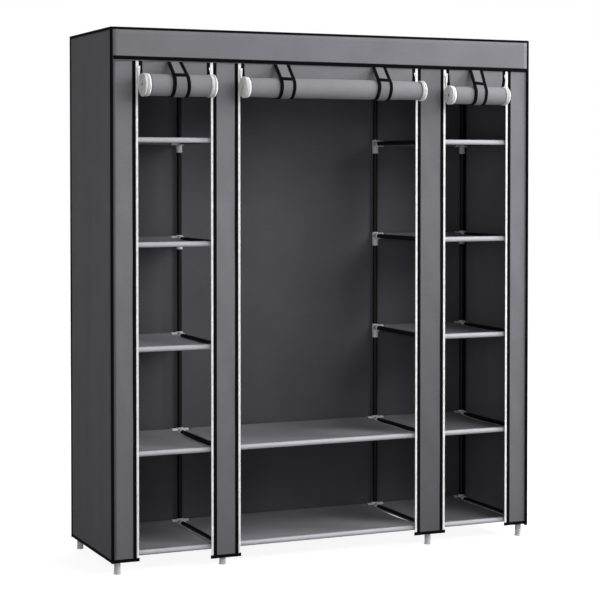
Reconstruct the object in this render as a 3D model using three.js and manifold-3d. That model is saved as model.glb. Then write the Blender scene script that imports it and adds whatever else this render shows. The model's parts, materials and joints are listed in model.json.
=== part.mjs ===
// A portable fabric wardrobe: a tube and connector frame of three bays under a sewn cover
// whose three zipped doors are rolled up and strapped under the header.
// Millimetres, +Z up, front at -Y. The origin is on the floor, under the middle of the whole.
import * as THREE from 'three';
import { mergeVertices } from 'three/addons/utils/BufferGeometryUtils.js';
import Module from 'manifold-3d';

const wasm = await Module();
wasm.setup();

// Cover
const coverWidth = 1500;
const coverDepth = 450;
const coverHeight = 1710;
const hemHeight = 38;
const clothThickness = 1.2;
const layerGap = 0.3;
const pipingSize = 9;
const pipingChamfer = 2;
const pipingProud = 3;
const headerHeight = 103;
const bindingWidth = 12;
const bindingProud = 0.9;
const hemBandHeight = 11;

// Frame of tubes
const tubeDiameter = 16;
const outerUprightInset = 25;
const uprightDepthInset = 23;
const centreBayWidth = 744;
const lowestLevel = 61;
const lowestPitch = 312;
const upperPitchCount = 4;
const roundSides = 8;
const cutOverrun = 5;

// Moulded connectors and feet
const socketWall = 2.5;
const socketClearance = 0.3;
const socketReach = 30;
const socketStop = 9.7;
const sleeveAbove = 13;
const sleeveBelow = 35;
const capRise = 16.5;
const capChamfer = 3;
const gussetThickness = 3;
const gussetSize = 17;
const railFittingHalfLength = 14;
const footRadius = 10;
const footPadRadius = 11.5;
const footPadHeight = 5;
const footRibRadius = 11;
const footRibHeight = 3;
const footRibCount = 2;

// Shelves
const sleeveEase = 0.3;
const shelfEndGap = 2;
const shelfRodGap = 4;
const shelfSag = 6;
const shelfSagSteps = 4;
const sleeveSteps = 8;
const sideShelfCount = 5;
const centreShelfCount = 2;

// Doors, zips and straps
const outerStripWidth = 78.5;
const dividerWidth = 86;
const zipWidth = 7.5;
const zipThickness = 2.4;
const doorEndGap = 2;
const rollRadius = 38;
const rollCoreRadius = 8;
const rollPitch = 2.9;
const rollChordDepth = 0.88;
const rollDrop = 43;
const rollStandOff = 1.6;
const strapWidth = 55;
const strapThickness = 1.2;
const strapEase = 0.8;
const strapTuck = 22;
const strapEndAngle = 325;
const strapArcSteps = 10;
const centreStrapSpacing = 354;

// Zip sliders and their pull tabs
const sliderDrop = 24;
const sliderLength = 15;
const sliderHeadWidth = 11;
const sliderTailWidth = 7;
const sliderPlate = 1.4;
const sliderClearance = 0.4;
const sliderPost = 1.6;
const bailWidth = 1.8;
const bailBar = 1.3;
const bailRoom = 3;
const bailSpan = 5.2;
const pullLength = 24;
const pullWidth = 7;
const pullTipWidth = 5;
const pullThickness = 1.2;
const pullEyeWidth = 3.6;
const pullEyeLength = 6.5;
const pullPinRadius = 0.8;
const pullPinSides = 6;

// Sizes and places that follow from these
const tubeRadius = tubeDiameter / 2;
const socketRadius = tubeRadius + socketWall;
const boreRadius = tubeRadius + socketClearance;
const rodStop = socketStop + layerGap;
const sleeveRadius = tubeRadius + sleeveEase + clothThickness;

const outerUprightX = coverWidth / 2 - outerUprightInset;
const innerUprightX = centreBayWidth / 2;
const uprightY = coverDepth / 2 - uprightDepthInset;

const sideFace = coverWidth / 2 - pipingProud;
const backFace = coverDepth / 2 - pipingProud;
const topFace = coverHeight - pipingProud;
const capTop = topFace - clothThickness - layerGap;
const topLevel = capTop - capRise;
const upperPitch = (topLevel - lowestLevel - lowestPitch) / upperPitchCount;
const levels = [lowestLevel, lowestLevel + lowestPitch];
while (levels.length < upperPitchCount + 2) levels.push(levels.at(-1) + upperPitch);
const topIndex = levels.length - 1;

const pipingInnerX = coverWidth / 2 - pipingSize;
const pipingInnerY = coverDepth / 2 - pipingSize;
const pipingInnerZ = coverHeight - pipingSize;
const headerBottom = coverHeight - headerHeight;

// The cloth layers of the front, from the outside in: header, straps, then strips and door flaps
const headerFront = coverDepth / 2 - bindingProud;
const headerBack = headerFront - clothThickness;
const strapFront = headerBack - layerGap;
const strapBack = strapFront - strapThickness;
const stripBindingFront = strapBack - layerGap;
const stripFront = stripBindingFront - bindingProud;
const stripBack = stripFront - clothThickness;
const stripBindingBack = stripBack - bindingProud;
const stripTop = pipingInnerZ - layerGap;

const rollRear = stripBindingFront + rollStandOff;
const rollCentreY = -(rollRear + rollRadius);
const rollCentreZ = headerBottom - rollDrop - rollRadius;
const strapRadius = rollRadius + strapEase;
const frontReach = strapRadius + strapThickness - rollCentreY;

// Each opening runs from zip edge to zip edge
const outerZipEdge = coverWidth / 2 - outerStripWidth - zipWidth;
const dividerZipEdge = dividerWidth / 2 + zipWidth;
const doors = [
  { name: 'left', low: -outerZipEdge, high: -innerUprightX - dividerZipEdge, straps: [0] },
  {
    name: 'centre',
    low: -innerUprightX + dividerZipEdge,
    high: innerUprightX - dividerZipEdge,
    straps: [-centreStrapSpacing / 2, centreStrapSpacing / 2],
  },
  { name: 'right', low: innerUprightX + dividerZipEdge, high: outerZipEdge, straps: [0] },
];
const sliderZ = headerBottom - sliderDrop;
const sliderGapHalf = zipThickness / 2 + sliderClearance;
const zipMiddle = (stripFront + stripBack) / 2;
const sliderFace = zipMiddle + sliderGapHalf + sliderPlate;
const pullY = sliderFace + bailRoom - layerGap - pullPinRadius;
const flapEdgeGap = sliderHeadWidth / 2 + sliderPost + sliderClearance;

// Materials, one for each finish
function finish(color, roughness, metalness) {
  return () => new THREE.MeshStandardMaterial({ color, roughness, metalness });
}
const greyCloth = finish(0x76767a, 0.9, 0);
const paleCloth = finish(0x8c8c90, 0.9, 0);
const blackTube = finish(0x141415, 0.45, 0.3);
const whiteMetal = finish(0xeeeeee, 0.4, 0.2);

// Closed meshes become solids, to be joined and cut, and come back as meshes
function solid(geometry) {
  const bare = geometry.clone();
  bare.deleteAttribute('normal');
  bare.deleteAttribute('uv');
  const merged = mergeVertices(bare);
  const shell = new wasm.Mesh({
    numProp: 3,
    vertProperties: merged.attributes.position.array,
    triVerts: new Uint32Array(merged.index.array),
  });
  return new wasm.Manifold(shell);
}

function join(solids) {
  return solids.reduce((whole, piece) => whole.add(piece));
}

function mesh(name, body, material) {
  const shell = body.getMesh();
  const geometry = new THREE.BufferGeometry();
  geometry.setAttribute('position', new THREE.BufferAttribute(shell.vertProperties, shell.numProp));
  geometry.setIndex(new THREE.BufferAttribute(shell.triVerts, 1));
  geometry.computeVertexNormals();
  const made = new THREE.Mesh(geometry, material());
  made.name = name;
  return made;
}

// Basic shapes. Round ones have flats, not corners, facing along the axes.
function block(low, high) {
  const size = high.map((value, axis) => value - low[axis]);
  const middle = high.map((value, axis) => (value + low[axis]) / 2);
  return solid(new THREE.BoxGeometry(...size).translate(...middle));
}

function bar(from, to, radius, sides = roundSides) {
  const start = new THREE.Vector3(...from);
  const along = new THREE.Vector3(...to).sub(start);
  const corners = [];
  for (let side = 0; side < sides; side += 1) {
    const angle = (side + 1 / 2) * ((2 * Math.PI) / sides);
    corners.push(new THREE.Vector2(radius * Math.cos(angle), radius * Math.sin(angle)));
  }
  const options = { depth: along.length(), bevelEnabled: false };
  const shape = new THREE.ExtrudeGeometry(new THREE.Shape(corners), options);
  const turn = new THREE.Quaternion().setFromUnitVectors(
    new THREE.Vector3(0, 0, 1),
    along.normalize(),
  );
  return solid(shape.applyQuaternion(turn).translate(...from));
}

// A profile of [radius, z] points, closed on the axis, turned about a vertical axis
function turned(profile, x, y) {
  const points = profile.map(([radius, z]) => new THREE.Vector2(radius, z));
  const shape = new THREE.LatheGeometry(points, roundSides, Math.PI / roundSides);
  return solid(shape.rotateX(Math.PI / 2).translate(x, y, 0));
}

// An outline of [y, z] points carried along X
function alongX(outline, lowX, highX) {
  const shape = new THREE.Shape(outline.map(([y, z]) => new THREE.Vector2(y, z)));
  const bodyShape = new THREE.ExtrudeGeometry(shape, { depth: highX - lowX, bevelEnabled: false });
  const turn = new THREE.Matrix4().makeBasis(
    new THREE.Vector3(0, 1, 0),
    new THREE.Vector3(0, 0, 1),
    new THREE.Vector3(1, 0, 0),
  );
  return solid(bodyShape.applyMatrix4(turn).translate(lowX, 0, 0));
}

// An outline of [x, z] points carried along Y
function alongY(outline, lowY, highY) {
  const shape = new THREE.Shape(outline.map(([x, z]) => new THREE.Vector2(x, z)));
  const bodyShape = new THREE.ExtrudeGeometry(shape, { depth: highY - lowY, bevelEnabled: false });
  return solid(bodyShape.rotateX(Math.PI / 2).translate(0, highY, 0));
}

// The outline of a strip of cloth: both sides of a line of [y, z] points
function ribbon(line, thickness) {
  const sides = line.map(([y, z], index) => {
    const before = line[Math.max(index - 1, 0)];
    const after = line[Math.min(index + 1, line.length - 1)];
    const run = new THREE.Vector2(after[0] - before[0], after[1] - before[1]).normalize();
    const half = thickness / 2;
    return [
      [y - run.y * half, z + run.x * half],
      [y + run.y * half, z - run.x * half],
    ];
  });
  return [...sides.map((side) => side[0]), ...sides.map((side) => side[1]).reverse()];
}

// A piped seam: a square bar with its edges taken off, between two opposite corners
function piping(low, high) {
  const size = high.map((value, axis) => value - low[axis]);
  const axis = size.indexOf(Math.max(...size));
  const [across, up] = [0, 1, 2].filter((other) => other !== axis);
  const cut = pipingChamfer;
  const outline = [
    [low[across] + cut, low[up]],
    [high[across] - cut, low[up]],
    [high[across], low[up] + cut],
    [high[across], high[up] - cut],
    [high[across] - cut, high[up]],
    [low[across] + cut, high[up]],
    [low[across], high[up] - cut],
    [low[across], low[up] + cut],
  ];
  if (axis === 0) return alongX(outline, low[0], high[0]);
  if (axis === 1) return alongY(outline, low[1], high[1]);
  const shape = new THREE.Shape(outline.map(([x, y]) => new THREE.Vector2(x, y)));
  const upright = new THREE.ExtrudeGeometry(shape, { depth: size[2], bevelEnabled: false });
  return solid(upright.translate(0, 0, low[2]));
}

const wardrobe = new THREE.Group();
wardrobe.position.y = (frontReach - coverDepth / 2) / 2;

// Uprights: a tube through six moulded connectors, on a ribbed foot
function footProfile() {
  const ribRoom = lowestLevel - socketRadius - footPadHeight;
  const ribPitch = ribRoom / (footRibCount + 1);
  const profile = [
    [0, 0],
    [footPadRadius, 0],
    [footPadRadius, footPadHeight],
  ];
  for (let rib = 1; rib <= footRibCount; rib += 1) {
    const middle = footPadHeight + rib * ribPitch;
    profile.push([footRadius, middle - footRibHeight / 2]);
    profile.push([footRibRadius, middle]);
    profile.push([footRadius, middle + footRibHeight / 2]);
  }
  profile.push([footRadius, lowestLevel], [0, lowestLevel]);
  return profile;
}

function sleeveProfile(level, isTop) {
  const bottom = level - sleeveBelow;
  const side = [[0, bottom], [socketRadius, bottom]];
  if (!isTop) return [...side, [socketRadius, level + sleeveAbove], [0, level + sleeveAbove]];
  return [...side, [socketRadius, capTop - capChamfer], [socketRadius - capChamfer, capTop], [0, capTop]];
}

function gusset(x, y, toward) {
  const low = lowestLevel - tubeRadius;
  const reach = socketRadius + gussetSize;
  const outline = [
    [0, low],
    [0, low - gussetSize],
    [footRadius, low - gussetSize],
    [reach, low],
  ];
  const half = gussetThickness / 2;
  if (toward[0]) {
    const turnedOutline = outline.map(([run, z]) => [x + toward[0] * run, z]);
    if (toward[0] < 0) turnedOutline.reverse();
    return alongY(turnedOutline, y - half, y + half);
  }
  return alongX(outline.map(([run, z]) => [y + toward[1] * run, z]), x - half, x + half);
}

function socketsAt(isOuter, side, levelIndex) {
  const hasCentreRod = levelIndex < centreShelfCount || levelIndex === topIndex;
  if (isOuter) return [-side];
  return hasCentreRod ? [side, -side] : [side];
}

function upright(name, side, isOuter, isFront) {
  const x = side * (isOuter ? outerUprightX : innerUprightX);
  const y = isFront ? -uprightY : uprightY;
  const inward = isFront ? 1 : -1;
  const solids = [turned(footProfile(), x, y)];
  const bores = [];
  solids.push(bar([x, y, lowestLevel], [x, y, topLevel], tubeRadius));
  levels.forEach((level, index) => {
    const isTop = index === topIndex;
    if (index === 0) {
      solids.push(bar([x, y, level], [x, y, level + sleeveAbove], socketRadius));
    } else {
      solids.push(turned(sleeveProfile(level, isTop), x, y));
    }
    const xSides = socketsAt(isOuter, side, index);
    for (const toward of xSides) {
      solids.push(bar([x, y, level], [x + toward * socketReach, y, level], socketRadius));
      const beyond = x + toward * (socketReach + cutOverrun);
      bores.push(bar([x + toward * socketStop, y, level], [beyond, y, level], boreRadius));
      if (index === 0) solids.push(gusset(x, y, [toward, 0]));
    }
    const mouth = y + inward * socketReach;
    solids.push(bar([x, y, level], [x, mouth, level], socketRadius));
    if (index === 0) solids.push(gusset(x, y, [0, inward]));
    if (isFront) {
      solids.push(bar([x, y, level], [x, uprightY - rodStop, level], tubeRadius));
    } else {
      bores.push(bar([x, y - socketStop, level], [x, mouth - cutOverrun, level], boreRadius));
    }
  });
  if (isFront && !isOuter) {
    const half = railFittingHalfLength;
    solids.push(bar([x, -half, topLevel], [x, half, topLevel], socketRadius));
    solids.push(bar([x, 0, topLevel], [x - side * socketReach, 0, topLevel], socketRadius));
    const beyond = x - side * (socketReach + cutOverrun);
    bores.push(bar([x - side * socketStop, 0, topLevel], [beyond, 0, topLevel], boreRadius));
  }
  const body = join(solids).subtract(join(bores));
  wardrobe.add(mesh(name, body, blackTube));
}

for (const [sideName, side] of [['left', -1], ['right', 1]]) {
  for (const isOuter of [true, false]) {
    for (const isFront of [true, false]) {
      const place = `${isFront ? 'front' : 'rear'}_${sideName}_${isOuter ? 'outer' : 'inner'}`;
      upright(`upright_${place}`, side, isOuter, isFront);
    }
  }
}

// Bays, each between two upright lines
const bays = [
  { name: 'left', low: -outerUprightX, high: -innerUprightX, shelves: sideShelfCount },
  { name: 'centre', low: -innerUprightX, high: innerUprightX, shelves: centreShelfCount },
  { name: 'right', low: innerUprightX, high: outerUprightX, shelves: sideShelfCount },
];

function rod(bay, y, level) {
  return bar([bay.low + rodStop, y, level], [bay.high - rodStop, y, level], tubeRadius);
}

// The outline of a shelf's cloth: a sleeve round each rod and a sheet that sags between them
function shelfOutline(level) {
  const sheetTop = (share) => level + sleeveRadius - shelfSag * (1 - share * share);
  const top = [];
  for (let step = 1; step < shelfSagSteps; step += 1) top.push((2 * step) / shelfSagSteps - 1);
  const sleeve = (y, start) => {
    const points = [];
    for (let step = 0; step < sleeveSteps; step += 1) {
      const angle = start + (step + 1 / 2) * ((2 * Math.PI) / sleeveSteps);
      points.push([y + sleeveRadius * Math.cos(angle), level + sleeveRadius * Math.sin(angle)]);
    }
    return points;
  };
  const under = (share) => [share * uprightY, sheetTop(share) - clothThickness];
  return [
    ...sleeve(-uprightY, Math.PI / 4).slice(0, -1),
    ...top.map(under),
    ...sleeve(uprightY, Math.PI / 2).slice(1),
    ...top.toReversed().map((share) => [share * uprightY, sheetTop(share)]),
  ];
}

// A shelf's sleeves end at the connectors, and its sheet goes on between them to the depth rods
function shelf(bay, index) {
  const level = levels[index];
  const sheetEdge = tubeRadius + shelfRodGap;
  const sleeveEdge = socketReach + shelfEndGap;
  const notchReach = uprightY - socketRadius - shelfEndGap;
  const notches = [];
  for (const [end, inward] of [[bay.low, 1], [bay.high, -1]]) {
    for (const side of [-1, 1]) {
      const x = [end, end + inward * sleeveEdge];
      const y = [side * notchReach, side * (uprightY + sleeveRadius + cutOverrun)];
      notches.push(block(
        [Math.min(...x), Math.min(...y), level - sleeveRadius - cutOverrun],
        [Math.max(...x), Math.max(...y), level + sleeveRadius + cutOverrun],
      ));
    }
  }
  const sheet = alongX(shelfOutline(level), bay.low + sheetEdge, bay.high - sheetEdge);
  const cloth = sheet.subtract(join(notches));
  const body = join([cloth, rod(bay, -uprightY, level), rod(bay, uprightY, level)]);
  wardrobe.add(mesh(`shelf_${bay.name}_${index + 1}`, body, paleCloth));
}

for (const bay of bays) {
  for (let index = 0; index < bay.shelves; index += 1) shelf(bay, index);
  wardrobe.add(mesh(`top_rod_front_${bay.name}`, rod(bay, -uprightY, topLevel), blackTube));
  wardrobe.add(mesh(`top_rod_rear_${bay.name}`, rod(bay, uprightY, topLevel), blackTube));
}
wardrobe.add(mesh('hanging_rail', rod(bays[1], 0, topLevel), blackTube));

// Cover: sewn panels with piped seams and bound hems
function coverSide(name, side) {
  const inner = side * (sideFace - clothThickness);
  const outer = side * sideFace;
  const band = [inner - side * bindingProud, outer + side * bindingProud];
  const edge = [side * (coverWidth / 2), side * pipingInnerX];
  const [low, high] = [Math.min(inner, outer), Math.max(inner, outer)];
  const [bandLow, bandHigh] = [Math.min(...band), Math.max(...band)];
  const [edgeLow, edgeHigh] = [Math.min(...edge), Math.max(...edge)];
  const reach = coverDepth / 2;
  const topReach = pipingInnerY + pipingChamfer;
  const solids = [
    block([low, -backFace, hemHeight], [high, backFace, topFace]),
    block([bandLow, -backFace, hemHeight], [bandHigh, backFace, hemHeight + hemBandHeight]),
    piping([edgeLow, -reach, hemHeight], [edgeHigh, -pipingInnerY, coverHeight]),
    piping([edgeLow, pipingInnerY, hemHeight], [edgeHigh, reach, coverHeight]),
    piping([edgeLow, -topReach, pipingInnerZ], [edgeHigh, topReach, coverHeight]),
  ];
  wardrobe.add(mesh(name, join(solids), greyCloth));
}
coverSide('cover_left', -1);
coverSide('cover_right', 1);

const panelX = pipingInnerX - layerGap;
const panelY = pipingInnerY - layerGap;
wardrobe.add(mesh('cover_back', join([
  block([-panelX, backFace - clothThickness, hemHeight], [panelX, backFace, topFace]),
  block(
    [-panelX, backFace - clothThickness - bindingProud, hemHeight],
    [panelX, backFace + bindingProud, hemHeight + hemBandHeight],
  ),
  piping([-panelX, pipingInnerY, pipingInnerZ], [panelX, coverDepth / 2, coverHeight]),
]), greyCloth));

wardrobe.add(mesh('cover_top', block(
  [-panelX, -panelY, topFace - clothThickness],
  [panelX, panelY, topFace],
), greyCloth));

wardrobe.add(mesh('cover_header', join([
  block([-panelX, -headerFront, headerBottom], [panelX, -headerBack, coverHeight - pipingChamfer]),
  block([-panelX, -coverDepth / 2, headerBottom], [panelX, -headerBack, headerBottom + bindingWidth]),
  piping([-panelX, -coverDepth / 2, pipingInnerZ], [panelX, -pipingInnerY, coverHeight]),
]), greyCloth));

// Front strips: bound cloth with a zip track along each edge that a door closes on
function strip(name, low, high, zipSides) {
  const solids = [block([low, -stripFront, hemHeight], [high, -stripBack, stripTop])];
  let [barLow, barHigh] = [low, high];
  for (const side of zipSides) {
    const edge = side < 0 ? low : high;
    const bound = [edge, edge - side * bindingWidth];
    solids.push(block(
      [Math.min(...bound), -stripBindingFront, hemHeight],
      [Math.max(...bound), -stripBindingBack, stripTop],
    ));
    const track = [edge - side * clothThickness, edge + side * zipWidth];
    solids.push(block(
      [Math.min(...track), -zipMiddle - zipThickness / 2, hemHeight],
      [Math.max(...track), -zipMiddle + zipThickness / 2, stripTop],
    ));
    if (side < 0) barLow = edge - zipWidth;
    else barHigh = edge + zipWidth;
  }
  solids.push(block(
    [barLow, -stripBindingFront, hemHeight],
    [barHigh, -stripBindingBack, hemHeight + hemBandHeight],
  ));
  wardrobe.add(mesh(name, join(solids), greyCloth));
}

for (const [sideName, side] of [['left', -1], ['right', 1]]) {
  const outerEdges = [side * panelX, side * (coverWidth / 2 - outerStripWidth)];
  strip(`strip_${sideName}_outer`, Math.min(...outerEdges), Math.max(...outerEdges), [-side]);
  const middle = side * innerUprightX;
  strip(`strip_${sideName}_inner`, middle - dividerWidth / 2, middle + dividerWidth / 2, [-1, 1]);
}

// A rolled door: one cloth wound from its rear edge down, forward, up and over, to the core.
// Each step turns just so far that its chord lies no deeper than rollChordDepth inside the curve.
function rollTurns() {
  const last = (rollRadius - clothThickness - rollCoreRadius) / rollPitch;
  const turns = [0];
  while (turns.at(-1) < last) {
    const radius = rollRadius - turns.at(-1) * rollPitch;
    const step = Math.acos(1 - rollChordDepth / radius) / Math.PI;
    turns.push(Math.min(turns.at(-1) + step, last));
  }
  return turns;
}

const woundTurns = rollTurns();

function rollLine(inset) {
  return woundTurns.map((turn) => {
    const radius = rollRadius - inset - turn * rollPitch;
    const angle = turn * 2 * Math.PI;
    return [rollCentreY + radius * Math.cos(angle), rollCentreZ - radius * Math.sin(angle)];
  });
}

const rollOuter = rollLine(0);
const rollInner = rollLine(clothThickness);

function distanceToLine(point, from, to) {
  const line = new THREE.Line3(new THREE.Vector3(...from, 0), new THREE.Vector3(...to, 0));
  const at = new THREE.Vector3(...point, 0);
  return line.closestPointToPoint(at, true, new THREE.Vector3()).distanceTo(at);
}

// The least distance from the points of one face to the other face, more than half a turn away
function leastGap(points, face, direction) {
  let least = Infinity;
  points.forEach((point, index) => {
    for (let other = 1; other < face.length; other += 1) {
      if (direction * (woundTurns[other] - woundTurns[index]) < 1 / 2) continue;
      least = Math.min(least, distanceToLine(point, face[other - 1], face[other]));
    }
  });
  return least;
}

function lengthOf(line) {
  const steps = line.slice(1).map(([y, z], index) => [y - line[index][0], z - line[index][1]]);
  return steps.reduce((sum, step) => sum + Math.hypot(...step), 0);
}
const leastRollGap = Math.min(leastGap(rollInner, rollOuter, 1), leastGap(rollOuter, rollInner, -1));
console.log(`rolled door: least gap between turns ${leastRollGap.toFixed(2)} mm`);
console.log(`rolled door: cloth wound ${lengthOf(rollOuter).toFixed(0)} mm`);

// The flat top of a door: cloth from the header down to the roll, still zipped at its upper edge
function flapLine() {
  const clothY = -(stripFront + stripBack) / 2;
  const rollY = rollCentreY + rollRadius - clothThickness / 2;
  return [
    [clothY, stripTop],
    [clothY, headerBottom],
    [(clothY + rollY) / 2, (headerBottom + rollCentreZ) / 2],
    [rollY, rollCentreZ + rollRadius / 2],
    [rollY, rollCentreZ + layerGap],
  ];
}

// A strap: from behind the header, slanting to the roll, round its front and under it
function strapLine() {
  const radius = strapRadius + strapThickness / 2;
  const top = [-(strapFront + strapBack) / 2, headerBottom - strapThickness];
  const [dy, dz] = [top[0] - rollCentreY, top[1] - rollCentreZ];
  const tangent = Math.atan2(dz, dy) + Math.acos(radius / Math.hypot(dy, dz));
  const end = THREE.MathUtils.degToRad(strapEndAngle);
  const line = [[top[0], headerBottom + strapTuck], top];
  for (let step = 0; step <= strapArcSteps; step += 1) {
    const angle = tangent + ((end - tangent) * step) / strapArcSteps;
    line.push([rollCentreY + radius * Math.cos(angle), rollCentreZ + radius * Math.sin(angle)]);
  }
  return line;
}

function door({ name, low, high, straps }) {
  const spiral = [...rollInner, ...rollOuter.toReversed()];
  const roll = alongX(spiral, low + doorEndGap, high - doorEndGap);
  wardrobe.add(mesh(`door_roll_${name}`, roll, paleCloth));

  const flap = [alongX(ribbon(flapLine(), clothThickness), low + flapEdgeGap, high - flapEdgeGap)];
  const zipLow = sliderZ + sliderLength / 2 + layerGap;
  for (const [edge, side] of [[low, 1], [high, -1]]) {
    const closed = [edge + side * layerGap, edge + side * (flapEdgeGap + bindingWidth)];
    flap.push(block(
      [Math.min(...closed), -zipMiddle - zipThickness / 2, zipLow],
      [Math.max(...closed), -zipMiddle + zipThickness / 2, stripTop],
    ));
  }
  wardrobe.add(mesh(`door_flap_${name}`, join(flap), greyCloth));

  const middle = (low + high) / 2;
  straps.forEach((offset, index) => {
    const which = straps.length > 1 ? `_${index + 1}` : '';
    const strapLow = middle + offset - strapWidth / 2;
    const body = alongX(ribbon(strapLine(), strapThickness), strapLow, strapLow + strapWidth);
    wardrobe.add(mesh(`strap_${name}${which}`, body, greyCloth));
  });
}
doors.forEach(door);

// A slider: two plates joined by a post, with a bail that holds the pull tab's eye
function slider(name, edge, side) {
  const x = edge + side * sliderPost / 2 + side * sliderClearance;
  const top = sliderZ + sliderLength / 2;
  const bottom = sliderZ - sliderLength / 2;
  const shield = [
    [x - sliderTailWidth / 2, bottom],
    [x + sliderTailWidth / 2, bottom],
    [x + sliderHeadWidth / 2, sliderZ],
    [x + sliderHeadWidth / 2, top],
    [x - sliderHeadWidth / 2, top],
    [x - sliderHeadWidth / 2, sliderZ],
  ];
  const inner = zipMiddle + sliderGapHalf;
  const rearInner = zipMiddle - sliderGapHalf;
  const bailTop = sliderZ + bailSpan / 2 + bailBar;
  const bailFoot = sliderZ - bailSpan / 2 - bailBar;
  const bailOuter = sliderFace + bailRoom + bailBar;
  const bailHalf = bailWidth / 2;
  const bail = block(
    [x - bailHalf, -bailOuter, bailFoot],
    [x + bailHalf, -sliderFace + bailBar / 2, bailTop],
  );
  const bailHole = block(
    [x - bailWidth, -sliderFace - bailRoom, bailFoot + bailBar],
    [x + bailWidth, -sliderFace, bailTop - bailBar],
  );
  const post = block(
    [x - sliderPost / 2, -sliderFace, sliderZ],
    [x + sliderPost / 2, -rearInner + sliderPlate / 2, top],
  );
  wardrobe.add(mesh(`zip_slider_${name}`, join([
    alongY(shield, -sliderFace, -inner),
    alongY(shield, -rearInner, -rearInner + sliderPlate),
    post,
    bail.subtract(bailHole),
  ]), whiteMetal));
  pull(name, x);
}

// A pull tab: a tapered plate with an eye, whose top bar turns inside the bail
function pull(name, x) {
  const low = sliderZ - pullLength;
  const bottomOfEye = sliderZ - pullEyeLength;
  const plate = [
    [x - pullTipWidth / 2, low],
    [x + pullTipWidth / 2, low],
    [x + pullWidth / 2, bottomOfEye],
    [x + pullWidth / 2, sliderZ],
    [x - pullWidth / 2, sliderZ],
    [x - pullWidth / 2, bottomOfEye],
  ];
  const half = pullThickness / 2;
  const eyeHalf = pullEyeWidth / 2;
  const eye = block(
    [x - eyeHalf, -pullY - pullThickness, bottomOfEye],
    [x + eyeHalf, -pullY + pullThickness, sliderZ],
  );
  const pinEnds = [x - pullWidth / 2, x + pullWidth / 2].map((endX) => [endX, -pullY, sliderZ]);
  const pin = bar(...pinEnds, pullPinRadius, pullPinSides);
  const body = alongY(plate, -pullY - half, -pullY + half).subtract(eye).add(pin);
  wardrobe.add(mesh(`zip_pull_${name}`, body, whiteMetal));
}

for (const { name, low, high } of doors) {
  slider(`${name}_1`, low, 1);
  slider(`${name}_2`, high, -1);
}

export default wardrobe;
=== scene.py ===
# %% [markdown]
# # A portable fabric wardrobe
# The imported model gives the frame: every tube, panel and door is there as a plain solid, in
# metres, with the floor at height 0 and the doors at the front, on -Y. This lesson dresses
# that frame. Rigid pieces get rounder shapes and real finishes, and each piece of cloth is
# made again as a sheet that hangs, sags or is wound up. Each piece is told which body of
# the frame it moves with, so the doors still come down.

# %% Load the frame
import json
import math

import bpy
import numpy as np
from mathutils import Euler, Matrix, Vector


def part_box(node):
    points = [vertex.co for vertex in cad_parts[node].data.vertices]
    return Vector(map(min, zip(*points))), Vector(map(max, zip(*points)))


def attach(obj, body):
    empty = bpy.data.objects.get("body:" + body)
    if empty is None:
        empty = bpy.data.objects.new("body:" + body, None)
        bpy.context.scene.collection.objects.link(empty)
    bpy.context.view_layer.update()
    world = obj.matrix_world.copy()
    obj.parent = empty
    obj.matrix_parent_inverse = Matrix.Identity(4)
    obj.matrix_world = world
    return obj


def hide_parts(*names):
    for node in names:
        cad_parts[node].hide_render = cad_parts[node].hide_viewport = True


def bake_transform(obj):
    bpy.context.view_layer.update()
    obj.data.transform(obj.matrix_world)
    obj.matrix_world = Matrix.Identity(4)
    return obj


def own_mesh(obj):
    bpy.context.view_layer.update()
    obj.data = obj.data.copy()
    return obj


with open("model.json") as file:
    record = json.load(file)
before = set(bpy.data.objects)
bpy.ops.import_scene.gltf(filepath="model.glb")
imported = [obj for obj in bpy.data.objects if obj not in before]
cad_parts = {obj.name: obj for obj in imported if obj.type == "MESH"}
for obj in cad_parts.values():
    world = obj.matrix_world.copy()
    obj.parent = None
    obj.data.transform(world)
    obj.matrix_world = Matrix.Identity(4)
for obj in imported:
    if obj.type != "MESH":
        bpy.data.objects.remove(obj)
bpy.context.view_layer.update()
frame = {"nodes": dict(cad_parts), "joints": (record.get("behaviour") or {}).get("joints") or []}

# %% [markdown]
# ## Sizes
# The sizes repeat what the solids were drawn with, in metres, so a sheet of cloth lands
# where its solid is. They are given about the middle of the cover's depth. The rolled doors
# stand out at the front, so the middle of the whole object is further forward, and every
# point is moved back by `SETBACK` when it is put into a mesh.

# %% Sizes of the cover, the tubes and the doors
cover_low, cover_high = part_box("cover_left")
SETBACK = (cover_low.y + cover_high.y) / 2
WIDTH, DEPTH, HEIGHT = 1.5, 0.45, 1.71
HEM = 0.038
CLOTH = 0.0012
PIPE = 0.009
FACE = 0.003
HEADER_LOW = HEIGHT - 0.103
BINDING = 0.012
HEM_BAND = 0.011
TUBE = 0.008
SNUG = TUBE + 0.0002
ROD_GAP = 0.010
SOCKET = 0.0105
BORE = 0.0083
LIP = 0.0006
REACH = 0.030
OUTER_X, INNER_X, UPRIGHT_Y = 0.725, 0.372, 0.202
LEVELS = np.array([0.061, 0.373, 0.702, 1.031, 1.360, 1.689])
TOP = len(LEVELS) - 1
SIDE_X, BACK_Y, TOP_Z = WIDTH / 2 - FACE, DEPTH / 2 - FACE, HEIGHT - FACE
HEADER_Y, HEADER_TAPE_Y, STRAP_Y, FLAT_ROLL_Y, STRIP_Y = -0.2235, -0.22395, -0.2220, -0.2219, -0.2196
ZIP = 0.0075
ROLL_BACK, ROLL_Z = -0.2227, 1.526
STRAP_BINDING, STRAP_BAR = 0.012, 0.0105
SLIDER_Z = HEADER_LOW - 0.024
DROP = frame["joints"][0]["range_m"][1]
print("setback", round(SETBACK, 5), "drop of a door", DROP)

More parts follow.
